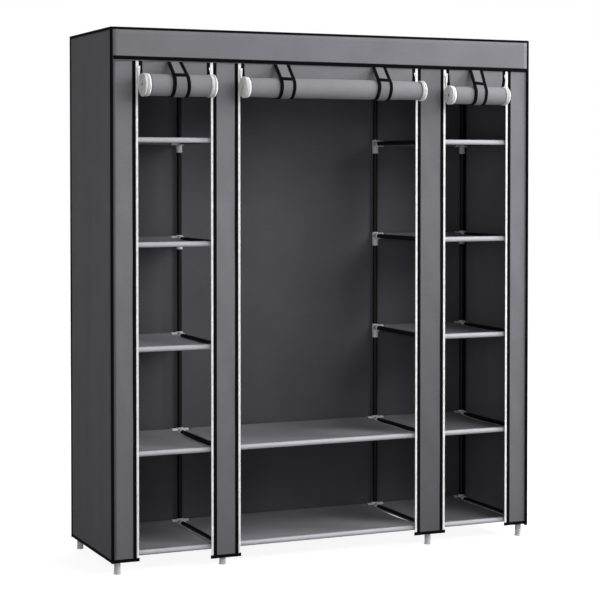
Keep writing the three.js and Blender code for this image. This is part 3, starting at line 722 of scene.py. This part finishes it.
def shelf_cloth_part(low, high, level, seed):
    """Point (i, j) is the line's point i at place j along the shelf. The sleeves end at the
    connectors and the sheet goes on to the depth rods, so each row has its own two ends.
    The sheet has its slow waves, and the sleeves pucker by 0.3 mm."""
    profile = shelf_line()
    columns = max(24, int((high - low) / 0.012))
    y, z = profile[:, 0][:, None], profile[:, 1][:, None]
    inset = np.where(np.abs(y) < NOTCH_Y, SHEET_EDGE, SLEEVE_EDGE)
    along = np.linspace(0, 1, columns)[None]
    x = (low + inset) * (1 - along) + (high - inset) * along
    pucker = 0.00025 * np.sin(x * 260 + seed) * np.clip(y / UPRIGHT_Y, -1, 1) ** 2
    return patch(np.stack(np.broadcast_arrays(x, y, level + z + slow_waves(x, y, seed) + pucker), -1))


def free_edge_part(edge, inward, level, seed):
    """The hem over one free edge: a 3 mm band that lies on the sheet from its edge inward."""
    y, into = np.meshgrid(np.linspace(-NOTCH_Y, NOTCH_Y, 49), np.linspace(0, FREE_HEM, 3), indexing="ij")
    x = edge + inward * (into - 0.0003)
    z = level + sheet_height(y / UPRIGHT_Y) + slow_waves(x, y, seed) + 0.0008
    return patch(np.stack([x, y, z], -1)[:, :: int(inward)])


shelf_seams = []
for bay, (low, high, count) in BAYS.items():
    for index in range(count):
        level, node_name = LEVELS[index], f"shelf_{bay}_{index + 1}"
        seed = 1.7 * index + 5 * low
        shelf = {"stands_for": [node_name]}
        sheet = [shelf_cloth_part(low, high, level, seed)]
        cloth = piece(f"cloth_{node_name}", sheet, shelf_cloth, thickness=SHELF_CLOTH, **shelf)
        sides = ((low + SHEET_EDGE, 1), (high - SHEET_EDGE, -1))
        edges = [free_edge_part(edge, inward, level, seed) for edge, inward in sides]
        hems = piece(f"hems_{node_name}", edges, hem_cloth, thickness=SHELF_CLOTH, **shelf)
        rods = [width_rod(low, high, y, level) for y in (-UPRIGHT_Y, UPRIGHT_Y)]
        rods = piece(f"rods_{node_name}", rods, tube_paint, **shelf)
        flat = (high - low - 2 * SHEET_EDGE, 0.500)
        start, end, seam = low + SLEEVE_EDGE + 0.003, high - SLEEVE_EDGE - 0.003, UPRIGHT_Y - 0.013
        for y in (-seam, seam):
            shelf_seams.append(((start, y, level + SLEEVE), (end, y, level + SLEEVE)))
print("shelves done")

# %% [markdown]
# ## The cover
# Left, right, back, top and header are flat panels sewn together along their edges. Over
# the frame they hang almost flat, with soft folds that fade out at the seams. Each panel is
# a grid whose points move along the panel's outward side by a few slow waves.

# %% A hanging panel
def folds(s, t, waves):
    """A sum of waves (height, turns across, turns up, start) over shares s and t of a
    panel's width and height, faded to nothing at its four edges."""
    fade = (np.clip(16 * s * (1 - s) * t * (1 - t), 0, 1)) ** 0.5
    total = sum(a * np.sin(2 * np.pi * (across * s + up * t) + start) for a, across, up, start in waves)
    return fade * total


def panel(origin, across, up, outward_side, waves, bulge=0.0, step=0.015):
    """A panel from one corner along two edges. The point at shares (s, t) is the corner plus
    s of one edge and t of the other, plus its folds and a plain bulge of 4 s (1 - s) times
    4 t (1 - t), along the outward side."""
    origin, across, up = (np.asarray(v, float) for v in (origin, across, up))
    rows = max(8, int(np.linalg.norm(up) / step))
    columns = max(8, int(np.linalg.norm(across) / step))
    t, s = np.meshgrid(np.linspace(0, 1, rows), np.linspace(0, 1, columns), indexing="ij")
    lift = folds(s, t, waves) + bulge * 16 * s * (1 - s) * t * (1 - t)
    side = np.asarray(outward_side, float)
    grid = origin + s[..., None] * across + t[..., None] * up + lift[..., None] * side
    return patch(grid)


# Each panel goes 2 mm under its piping
INNER_PIPE, INNER_PIPE_Y, UNDER_PIPE = WIDTH / 2 - PIPE, DEPTH / 2 - PIPE, 0.002
LEFT_EDGE, FRONT_EDGE = -INNER_PIPE - UNDER_PIPE, -INNER_PIPE_Y - UNDER_PIPE
ACROSS = (2 * INNER_PIPE + 2 * UNDER_PIPE, 0, 0)
BACKWARD = (0, 2 * INNER_PIPE_Y + 2 * UNDER_PIPE, 0)
UPWARD = (0, 0, HEIGHT - PIPE - HEM + UNDER_PIPE)
HEADER_TOP = HEIGHT - PIPE + UNDER_PIPE
SIDE_WAVES = [(0.0016, 1.3, 0.15, 0.4), (0.0009, 3.1, -0.4, 1.9)]
SIDE_WAVES += [(0.0007, 0.6, 2.2, 0.9), (0.0004, 5.3, 1.1, 3.0)]
BACK_WAVES = [(0.0016, 2.2, 0.2, 1.1), (0.0010, 5.2, -0.3, 0.2)]
BACK_WAVES += [(0.0008, 0.8, 1.7, 2.4), (0.0004, 9.1, 0.9, 1.2)]
TOP_WAVES = [(0.0004, 2.1, 0.3, 0.7), (0.0003, 5.0, 0.8, 0.1)]
HEADER_WAVES = [(0.0005, 2.6, 0.2, 0.3), (0.0003, 6.3, 0.4, 1.3)]
# A panel's corner, its two edges, its outward side, its waves and its bulge
PANELS = {
    "left": ((-SIDE_X + CLOTH / 2, FRONT_EDGE, HEM), BACKWARD, UPWARD, (-1, 0, 0), SIDE_WAVES, -0.0015),
    "right": ((SIDE_X - CLOTH / 2, FRONT_EDGE, HEM), BACKWARD, UPWARD, (1, 0, 0), SIDE_WAVES, -0.0015),
    "back": ((LEFT_EDGE, BACK_Y - CLOTH / 2, HEM), ACROSS, UPWARD, (0, 1, 0), BACK_WAVES, -0.0015),
    "top": ((LEFT_EDGE, FRONT_EDGE, TOP_Z - CLOTH / 2), ACROSS, BACKWARD, (0, 0, 1), TOP_WAVES, -0.0035),
    "header": (
        (LEFT_EDGE, HEADER_Y, HEADER_TOP),
        ACROSS,
        (0, 0, HEADER_LOW - HEADER_FALL + 0.004 - HEADER_TOP),
        (0, -1, 0),
        HEADER_WAVES,
        0.0006,
    ),
}
# Each panel's cloth, its flat size, how it is held and what it rests on
SEWN = {
    # The sides and the back take darker copies of the grey cloth, as painted shade
    "left": (shaded_side_cloth, (0.45, 1.672), "hung", "connectors_front_left_outer"),
    "right": (shaded_side_cloth, (0.45, 1.672), "hung", "connectors_front_right_outer"),
    "back": (shaded_back_cloth, (1.5, 1.672), "hung", "connectors_rear_left_inner"),
    "top": (grey_cloth, (1.5, 0.45), "stretched", "connectors_front_left_inner"),
    "header": (grey_cloth, (1.5, 0.103), "hung", "cloth_cover_top"),
}
for name, (finished, flat, held, below) in SEWN.items():
    part, stands_for = panel(*PANELS[name]), [f"cover_{name}"]
    cloth = piece(f"cloth_cover_{name}", [part], finished, stands_for=stands_for, thickness=CLOTH)
print("panels:", list(SEWN))

# %% [markdown]
# ## Piped seams and bound edges
# Black tape is folded over every seam and hem. Along the cover's corners it makes a soft
# square bead; along the front strips it lies flat. Both are rounded bars carried along the
# edge, and the ends are tucked into each other at the corners.

# %% Beads and bands
def bead(start, end, side):
    """A rounded bar from start to end whose middle runs along that line."""
    return swept(line(start, end, 9), rounded(PIPE, PIPE, 0.0028), side)


def band(start, end, side, width, thickness):
    """A flat folded tape from start to end, its width along side."""
    return swept(line(start, end, 25), rounded(width, thickness, min(thickness * 0.48, 0.0012), 3), side)


def header_edge(x, above):
    """A point that far above the header's lower edge, which falls from left to right."""
    share = (x + INNER_PIPE) / (2 * INNER_PIPE)
    return (x, HEADER_TAPE_Y, HEADER_LOW + above + HEADER_RISE * (1 - share) - HEADER_FALL * share)


half = PIPE / 2
edge_x, edge_y, edge_z = WIDTH / 2 - half, DEPTH / 2 - half, HEIGHT - half
HEM_Z, HEM_TAPE = HEM + 0.005, 0.003
for name, side in (("left", -1), ("right", 1)):
    x, cloth_x = side * edge_x, side * (SIDE_X - CLOTH / 2)
    beads = [
        bead((x, -edge_y, HEM), (x, -edge_y, HEIGHT - 0.001), (1, 0, 0)),
        bead((x, edge_y, HEM), (x, edge_y, HEIGHT - 0.001), (1, 0, 0)),
        bead((x, -edge_y, edge_z), (x, edge_y, edge_z), (1, 0, 0)),
        band((cloth_x, -edge_y, HEM_Z), (cloth_x, edge_y, HEM_Z), (0, 0, 1), HEM_BAND, HEM_TAPE),
    ]
    piece(f"binding_cover_{name}", beads, binding_tape)
y = BACK_Y - CLOTH / 2
back_beads = [
    bead((-INNER_PIPE, edge_y, edge_z), (INNER_PIPE, edge_y, edge_z), (0, 1, 0)),
    band((-INNER_PIPE, y, HEM_Z), (INNER_PIPE, y, HEM_Z), (0, 0, 1), HEM_BAND, HEM_TAPE),
]
piece("binding_cover_back", back_beads, binding_tape)
ends = [header_edge(x, BINDING / 2) for x in (-INNER_PIPE, INNER_PIPE)]
header_beads = [
    bead((-INNER_PIPE, -edge_y, edge_z), (INNER_PIPE, -edge_y, edge_z), (0, 1, 0)),
    band(*ends, (0, 0, 1), BINDING, 0.0021),
]
piece("binding_cover_header", header_beads, binding_tape)

# %% [markdown]
# ## Front strips and zip tracks
# Between the openings the front is four upright strips, bound in black, with half of a zip
# sewn along each edge that a door closes on. The teeth of a coil zip are the loops of one
# plastic thread, about 2.5 mm apart here, so hundreds of small blunt blocks in a row stand
# for them.

# %% Rows of teeth and stitches
SQUARE = np.array([(-1, -1), (1, -1), (1, 1), (-1, 1)])
LOW_FACE, HIGH_FACE = np.insert(SQUARE, 2, -1, axis=1), np.insert(SQUARE * [0.7, 0.6], 2, 1, axis=1)
BLOCK = 0.5 * np.concatenate([LOW_FACE, HIGH_FACE])
BLOCK_FACES = np.array([(0, 3, 2, 1), (4, 5, 6, 7), (0, 1, 5, 4), (1, 2, 6, 5), (2, 3, 7, 6), (3, 0, 4, 7)])


def row(points, spacing, size, toward, shape=BLOCK, faces=BLOCK_FACES):
    """Blocks evenly spaced along a line of points: each is size = (long, wide, high), long
    along the line and high toward the given side."""
    points = np.asarray(points, float)
    run = np.concatenate([[0], np.cumsum(np.linalg.norm(np.diff(points, axis=0), axis=1))])
    places = np.arange(spacing / 2, run[-1], spacing)
    behind, at, ahead = (
        np.stack([np.interp(places + shift, run, points[:, k]) for k in range(3)], -1)
        for shift in (-spacing / 2, 0, spacing / 2)
    )
    x_axis = unit(ahead - behind)
    y_axis = unit(np.cross(np.broadcast_to(np.asarray(toward, float), x_axis.shape), x_axis))
    z_axis = np.cross(x_axis, y_axis)
    long, wide, high = size
    return repeated(shape, faces, at, x_axis * long, y_axis * wide, z_axis * high)


STRIP_TOP = HEIGHT - PIPE - 0.0003


def upright_band(x, low, width, thickness):
    """A flat tape in the plane of the strips, from that height to their top."""
    return band((x, STRIP_Y, low), (x, STRIP_Y, STRIP_TOP), (1, 0, 0), width, thickness)


def strip_pieces(name, low, high, zip_sides):
    """Cloth, binding and zip halves of one front strip, which hangs down to its own hem."""
    hem = HEM - HEM_DROPS[name]
    waves = [(0.0004, 0.5, 2.6, 0.4 + 7 * low), (0.0003, 1.1, 6.2, 1.0 + 3 * low)]
    up = (0, 0, STRIP_TOP - hem - 0.002)
    sheet = panel((low, STRIP_Y, hem + 0.002), (high - low, 0, 0), up, (0, -1, 0), waves, step=0.009)
    # Painted shade: the right divider takes a darker copy of the grey cloth, darkening more toward its hem
    cloth = shaded_divider_cloth if name == "right_inner" else grey_cloth
    cloth = piece(f"cloth_strip_{name}", [sheet], cloth, stands_for=[f"strip_{name}"], thickness=CLOTH)
    tapes, zips, teeth = [], [], []
    bar = [low, high]
    for side in zip_sides:
        edge = low if side < 0 else high
        tapes.append(upright_band(edge - side * BINDING / 2, hem, BINDING, 0.0029))
        zips.append(upright_band(edge + side * (ZIP - 0.0010) / 2, hem + 0.004, ZIP - 0.0005, 0.0014))
        x = edge + side * (ZIP - 0.0014)
        chain = line((x, STRIP_Y, hem + 0.011), (x, STRIP_Y, STRIP_TOP))
        teeth.append(row(chain, 0.0025, (0.0017, 0.0023, 0.0026), (side, 0, 0)))
        bar[side > 0] = edge + side * (ZIP + 0.0015)
    z = hem + HEM_BAND / 2
    tapes.append(band((bar[0], STRIP_Y, z), (bar[1], STRIP_Y, z), (0, 0, 1), HEM_BAND, 0.0031))
    binding = piece(f"binding_strip_{name}", tapes, binding_tape)
    tape = piece(f"zip_tape_strip_{name}", zips, zip_tape)
    piece(f"zip_teeth_strip_{name}", teeth, zip_teeth_plastic, crease=60)


for name, settings in STRIPS.items():
    strip_pieces(name, *settings)
print("strips done")

# %% [markdown]
# ## Rolled doors
# Each door is rolled up from its hem, reverse side out, so the roll shows the lighter side of the cloth, and
# its ends show the white zip tape as a spiral. The line of the cloth is a spiral whose radius falls by about
# 2 mm a turn, so that the whole door is wound in it. When a door comes down its roll gets thinner; here the
# roll rides down with the door and keeps its shape.

# %% The spiral
DOOR_CLOTH, CORE, TURN_POINTS = 1.458, 0.006, 400


def spiral(radius, drop, count, lift=0.0):
    """The roll's line as (y, z) and its turns: the angle falls from the rear of the roll,
    down, forward and over, and the radius falls by one pitch in each turn. The pitch is
    what lets 1.458 m of cloth fill the ring between the core and the radius. The roll's
    rear stays in the plane of the door's flat top."""
    middle = np.array([ROLL_BACK - radius, ROLL_Z + drop])
    outer = radius - CLOTH / 2
    pitch = np.pi * (outer**2 - CORE**2) / DOOR_CLOTH
    turn = np.linspace(0, (outer - CORE) / pitch, count)
    reach = outer + lift - turn * pitch
    angle = 2 * np.pi * turn
    return middle, middle + reach[:, None] * np.stack([np.cos(angle), -np.sin(angle)], -1), turn


def wound_cloth(low, high, radius, drop, thinner):
    """The spiral carried along the door's width. The radius falls toward the ends by the
    share thinner, and dips by up to 2 % in slow waves, where hands pressed it unevenly."""
    middle, profile, turn = spiral(radius, drop, TURN_POINTS)
    share = np.linspace(0, 1, int((high - low) / 0.010))
    x = low + (high - low) * share
    wave = 0.008 * np.sin(x * 23 + turn[:, None] * 0.8) + 0.005 * np.sin(x * 61 + turn[:, None] * 2.6)
    wave = wave - thinner * np.abs(2 * share - 1) ** 3
    yz = middle + (profile - middle)[:, None] * (1 + wave)[..., None]
    return patch(np.concatenate([np.broadcast_to(x, wave.shape)[..., None], yz], -1))


def wound_zip(end, side, radius, drop, tape):
    """The zip's tape at one end of a roll, wound with the cloth. Across its width the tape
    has the round ridge of the coil at its edge, a groove, and the flat tape. The end
    wanders by a millimetre, and every other turn stands out a little."""
    middle, profile, turn = spiral(radius, drop, TURN_POINTS, lift=CLOTH)
    across = np.array([0.0, 0.04, 0.15, 0.27, 0.34, 0.41, 0.49, 0.76, 1.0]) * tape
    ridge = np.array([-0.0006, 0.0006, 0.0010, 0.0006, -0.0009, -0.0007, 0.0003, 0.0003, -0.0004])
    wander = 0.0011 * np.sin(np.pi * turn + 0.6) + 0.0004 * np.sin(turn * 2.1 + 40 * end)
    x = end - side * (across[None] + wander[:, None])
    yz = profile[:, None] + unit(profile - middle)[:, None] * ridge[None, :, None]
    return patch(np.concatenate([x[..., None], yz], -1))


def core_hem_and_shade(end, inward, middle):
    """The black hem that a roll is wound on, as seen in the hole in its end. It also stands in for the shade
    deep in the hole, as painted shade.
    """
    profile = [(0.0050, 0.020), (0.0050, 0.0), (0.0042, 0.0), (0.0042, 0.006)]
    return turned(profile, (end + inward * 0.0022, *middle), (inward, 0, 0), sides=24)


# %% Three rolls
rolls = {}
for name, (low, high, radius, drop, width, thinner) in ROLLS.items():
    door = f"door_{name}"
    inside = width - 0.002
    sheet = [wound_cloth(low + inside, high - inside, radius, drop, thinner)]
    stands_for = [f"door_roll_{name}"]
    cloth = piece(f"cloth_roll_{name}", sheet, reverse_cloth, door, stands_for, CLOTH)
    ends = [wound_zip(low, -1, radius, drop, width), wound_zip(high, 1, radius, drop, width)]
    tape = piece(f"zip_tape_roll_{name}", ends, wound_tape, door, thickness=0.0016)
    middle = spiral(radius, drop, 4)[0]
    cores = [core_hem_and_shade(low, 1, middle), core_hem_and_shade(high, -1, middle)]
    # The black core is partly the door's hem and partly painted shade in the hole
    hem_and_shade = piece(f"binding_core_{name}", cores, binding_tape, door)
    rolls[name] = (cloth, tape, hem_and_shade)
    flat = (high - low - 2 * inside, DOOR_CLOTH)
print("rolls:", list(rolls))

# %% [markdown]
# ## The flat top of each door
# Above its roll a door is still zipped in. Its cloth hangs from under the header to the roll, bound in black
# along both edges, with the closed zip beside it. When the door comes down this stretch is what fills the
# opening, so it has a row of points every millimetre. Here it stays where it is and does not move with the
# door.

# %% Door cloth between header and roll
# The cloth stretches between the header's edge and STRETCH_END when the door comes down, is
# drawn in from the slider to ROLLED_IN, and its zip hangs loose down to LOOSE_END
FLAP_TOP, STRETCH_END, ROLLED_IN, LOOSE_END = 1.690, 1.527, 1.545, 1.500
FLAP_GAP, FLAP_FORWARD, FLAP_SLANT = 0.0019, 0.0034, 0.062
ZIP_CENTRE = 0.0011


def flap_depth(z):
    """The depth y of the door's cloth at height z: in the plane of the strips as far as the
    header's edge, then forward by 3.4 mm to the rear of the roll."""
    share = np.clip((HEADER_LOW - z) / FLAP_SLANT, 0, 1)
    return STRIP_Y - FLAP_FORWARD * share**2 * (3 - 2 * share)


def flap_heights(end):
    """Heights from the top down to the roll, a millimetre apart where the cloth stretches,
    and on behind the roll to the end."""
    tucked, stretched = np.linspace(FLAP_TOP, HEADER_LOW, 8), np.linspace(HEADER_LOW, STRETCH_END, 90)
    return np.concatenate([tucked[:-1], stretched, np.linspace(STRETCH_END, end, 5)[1:]])


def drawn_in(z):
    """From 0 to 1 below the slider, where the door leaves its zip and goes into the roll."""
    return np.clip((SLIDER_Z - z) / (SLIDER_Z - ROLLED_IN), 0, 1) ** 1.5


def flap_part(low, high, end, columns, narrower):
    """The flap's grid: its heights across its width, pushed out a little by soft folds, and
    its edges drawn in toward the roll."""
    z = flap_heights(end)[:, None]
    share = np.linspace(0, 1, columns)[None]
    pulled = drawn_in(z)
    x = (low + pulled * narrower[0]) * (1 - share) + (high - pulled * narrower[1]) * share
    y = flap_depth(z) + 0.0002 * np.sin(x * 55) * np.clip((FLAP_TOP - z) * 20, 0, 1)
    return patch(np.stack(np.broadcast_arrays(x, y, z), -1))


def flap_band(x, end, narrower):
    """A binding that follows one edge of the flap."""
    z = flap_heights(end)
    path = np.stack([x + drawn_in(z) * narrower, flap_depth(z), z], -1)
    return swept(path, rounded(BINDING, 0.0026, 0.0026 * 0.45, 3), (1, 0, 0))


def across_the_drop(made):
    """Bakes the piece's placement into its mesh."""
    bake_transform(made)


def door_zips(name, door, index, edge, side):
    """The closed zip above one slider, and below it the loose half that goes into the roll."""
    slider_top, slider_low = SLIDER_Z + 0.009, SLIDER_Z - 0.008
    z = np.concatenate([np.linspace(STRIP_TOP, HEADER_LOW, 8), np.linspace(HEADER_LOW, slider_top, 60)[1:]])
    path = np.stack([np.full_like(z, edge + side * ZIP_CENTRE), np.full_like(z, STRIP_Y), z], -1)
    closed = [swept(path, rounded(0.0024, 0.0022, 0.0008, 3), (1, 0, 0))]
    closed = piece(f"zip_closed_{name}_{index}", closed, zip_tape, None, [f"door_flap_{name}"])
    across_the_drop(closed)
    share = np.linspace(0, 1, 24)
    z = slider_low - share * (slider_low - LOOSE_END)
    flare = np.clip(share * 1.4, 0, 1) ** 2
    inward = ZIP_CENTRE + drawn_in(z) * DRAWN_IN[name][index - 1] - 0.0045 * flare
    path = np.stack([edge + side * inward, flap_depth(z) - 0.0002, z], -1)
    loose = [swept(path, rounded(0.0030, 0.0020, 0.0008, 3), (1, 0, 0))]
    piece(f"zip_open_{name}_{index}", loose, zip_tape, door)


for name, (low, high) in DOORS.items():
    door = f"door_{name}"
    left, right = low + FLAP_GAP, high - FLAP_GAP
    narrower = DRAWN_IN[name]
    _, _, radius, roll_drop, _, _ = ROLLS[name]
    end = ROLL_Z + roll_drop - radius + 0.007
    sheet = [flap_part(left + 0.002, right - 0.002, end, int((right - left) / 0.015), narrower)]
    cloth = piece(f"cloth_flap_{name}", sheet, grey_cloth, None, [f"door_flap_{name}"], CLOTH)
    sides = ((left + BINDING / 2, narrower[0]), (right - BINDING / 2, -narrower[1]))
    tapes = [flap_band(x, end, inward) for x, inward in sides]
    binding = piece(f"binding_flap_{name}", tapes, binding_tape, None)
    for made in (cloth, binding):
        across_the_drop(made)
    flat = (right - left, 0.2)
    for index, (edge, side) in enumerate(((low, 1), (high, -1)), start=1):
        door_zips(name, door, index, edge, side)
print("flaps done")

# %% [markdown]
# ## Straps
# A strap hangs from behind the header, slants forward over the roll, goes round its front and ends under it.
# It is grey cloth with a black binding along both edges and a bar of stitching where it meets the roll. When
# the door comes down the strap is undone and hangs flat; here it keeps the shape it has over the roll.

# %% The strap's line
OVER_ROLL = 0.0014


def strap_line(door, count=41):
    """(y, z) along the strap: down behind the header, straight to where it touches the
    circle round the roll, and along that circle to its end at 325 degrees."""
    _, _, radius, drop, _, _ = ROLLS[door]
    middle = np.array([ROLL_BACK - radius, ROLL_Z + drop])
    radius = radius + OVER_ROLL
    top = np.array([STRAP_Y, HEADER_LOW - 0.0012])
    offset = top - middle
    start = math.atan2(offset[1], offset[0]) + math.acos(radius / np.hypot(*offset))
    angle = np.linspace(start, math.radians(325), count)
    arc = middle + radius * np.stack([np.cos(angle), np.sin(angle)], -1)
    tucked = line((STRAP_Y, HEADER_LOW + 0.022), top, 5)[:-1]
    slant = line(top, arc[0], 9)[:-1]
    return np.concatenate([tucked, slant, arc])


def strap_pieces(name, door, top, front, bar_z):
    """Cloth, bindings and stitched bar of one strap. Its middle and width go from those
    behind the header to those in front of the roll."""
    profile = strap_line(door)
    heights = [ROLL_Z - 0.01, HEADER_LOW]

    def at(share, yz):
        """The strap's line there, that share of its width from its middle, as points."""
        middle = np.interp(yz[:, 1], heights, [front[0], top[0]])
        half = np.interp(yz[:, 1], heights, [front[1] / 2, top[1] / 2])
        inset = STRAP_BINDING / 2 if abs(share) == 1 else 0.001
        return np.stack([middle + share * (half - inset), *yz.T], -1)

    grid = np.stack([at(share, profile) for share in np.linspace(-0.99, 0.99, 15)], axis=1)
    cloth = piece(f"cloth_{name}", [patch(grid)], grey_cloth, stands_for=[name], thickness=CLOTH)
    edge = rounded(STRAP_BINDING, 0.0024, 0.0009, 3)
    tapes = [swept(at(side, profile), edge, (1, 0, 0)) for side in (-1, 1)]
    falling = profile[: int(np.argmin(profile[:, 0]))]
    bar = np.linspace(bar_z + STRAP_BAR / 2, bar_z - STRAP_BAR / 2, 6)
    depth = np.interp(-bar, -falling[:, 1], falling[:, 0])
    wide = rounded(front[1] - STRAP_BINDING, 0.0030, 0.0010, 3)
    tapes.append(swept(at(0, np.stack([depth, bar], -1)), wide, (1, 0, 0)))
    binding = piece(f"binding_{name}", tapes, binding_tape)
    for made in (cloth, binding):
        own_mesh(made)
    length = round(float(np.linalg.norm(np.diff(profile, axis=0), axis=1).sum()), 3)
    return length


for name, settings in STRAPS.items():
    print(name, "is", strap_pieces(name, *settings), "m long")

# %% Each roll's pieces get meshes of their own
for name, wound in rolls.items():
    for made in wound:
        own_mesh(made)

# %% [markdown]
# ## Sliders and pull tabs
# The zip sliders and their pull tabs keep the shapes of their solids, which have the real
# plates, bail and eye. Each is set beside its solid by as much as its zip is, and gets
# white enamel. The pulls also stand 0.8 mm further forward, so that they hang in front of
# the door's binding when the door is down.

# %% Sliders and pulls beside their solids
PULL_FORWARD = 0.0008


def beside(node_name, aside, forward):
    """A solid's own faces, moved aside along X and forward along Y, as one part."""
    solid = frame["nodes"][node_name]
    mesh = solid.data
    points = np.empty(3 * len(mesh.vertices))
    mesh.vertices.foreach_get("co", points)
    place = np.array(solid.matrix_world)
    points = points.reshape(-1, 3) @ place[:3, :3].T + place[:3, 3] + [aside, -SETBACK - forward, 0]
    mesh.calc_loop_triangles()
    faces = np.empty(3 * len(mesh.loop_triangles), np.int32)
    mesh.loop_triangles.foreach_get("vertices", faces)
    faces = faces.reshape(-1, 3)
    return {"points": points, "faces": [(faces, points[faces][..., [0, 2]])]}


for name, pair in ASIDE.items():
    for index, aside in enumerate(pair, start=1):
        for kind, forward in (("slider", 0.0), ("pull", PULL_FORWARD)):
            node_name, body = f"zip_{kind}_{name}_{index}", f"{kind}_{name}_{index}"
            part = beside(node_name, aside, forward)
            piece(f"enamelled_{node_name}", [part], slider_enamel, body, [node_name], crease=30)
print("sliders done")

# %% [markdown]
# ## Stitching
# Every binding is sewn down by a line of stitches. Each stitch is a short thread that dips
# into the cloth at both ends: a stretched octahedron is enough at this size.

# %% Lines of stitches
STITCH = np.array([(0.5, 0, -0.4), (-0.5, 0, -0.4), (0, 0.5, 0), (0, -0.5, 0), (0, 0, 0.5), (0, 0, -0.5)])
UPPER_FACES = [(0, 2, 4), (2, 1, 4), (1, 3, 4), (3, 0, 4)]
STITCH_FACES = np.array([*UPPER_FACES, (2, 0, 5), (1, 2, 5), (3, 1, 5), (0, 3, 5)])
STITCH_SIZE, STITCH_SPACING = (0.0030, 0.0007, 0.0007), 0.0042
TAPE_FACE = 0.00145


def stitches(start, end, toward):
    """A line of stitches that stand toward one side."""
    return row(line(start, end), STITCH_SPACING, STITCH_SIZE, toward, STITCH, STITCH_FACES)


seams = []
for low, high, zip_sides in STRIPS.values():
    for side in zip_sides:
        x = (low if side < 0 else high) - side * (BINDING - 0.0018)
        for toward in (-1, 1):
            y = STRIP_Y + toward * TAPE_FACE
            seams.append(stitches((x, y, HEM + 0.012), (x, y, STRIP_TOP), (0, toward, 0)))
ends = [np.array(header_edge(x, BINDING - 0.0016)) - [0, 0.00105, 0] for x in (-INNER_PIPE, INNER_PIPE)]
seams.append(stitches(*ends, (0, -1, 0)))
piece("stitching_front", seams, black_thread, crease=180)
seams = [stitches(start, end, (0, 0, 1)) for start, end in shelf_seams]
piece("stitching_shelves", seams, grey_thread, crease=180)
print("stitching done")
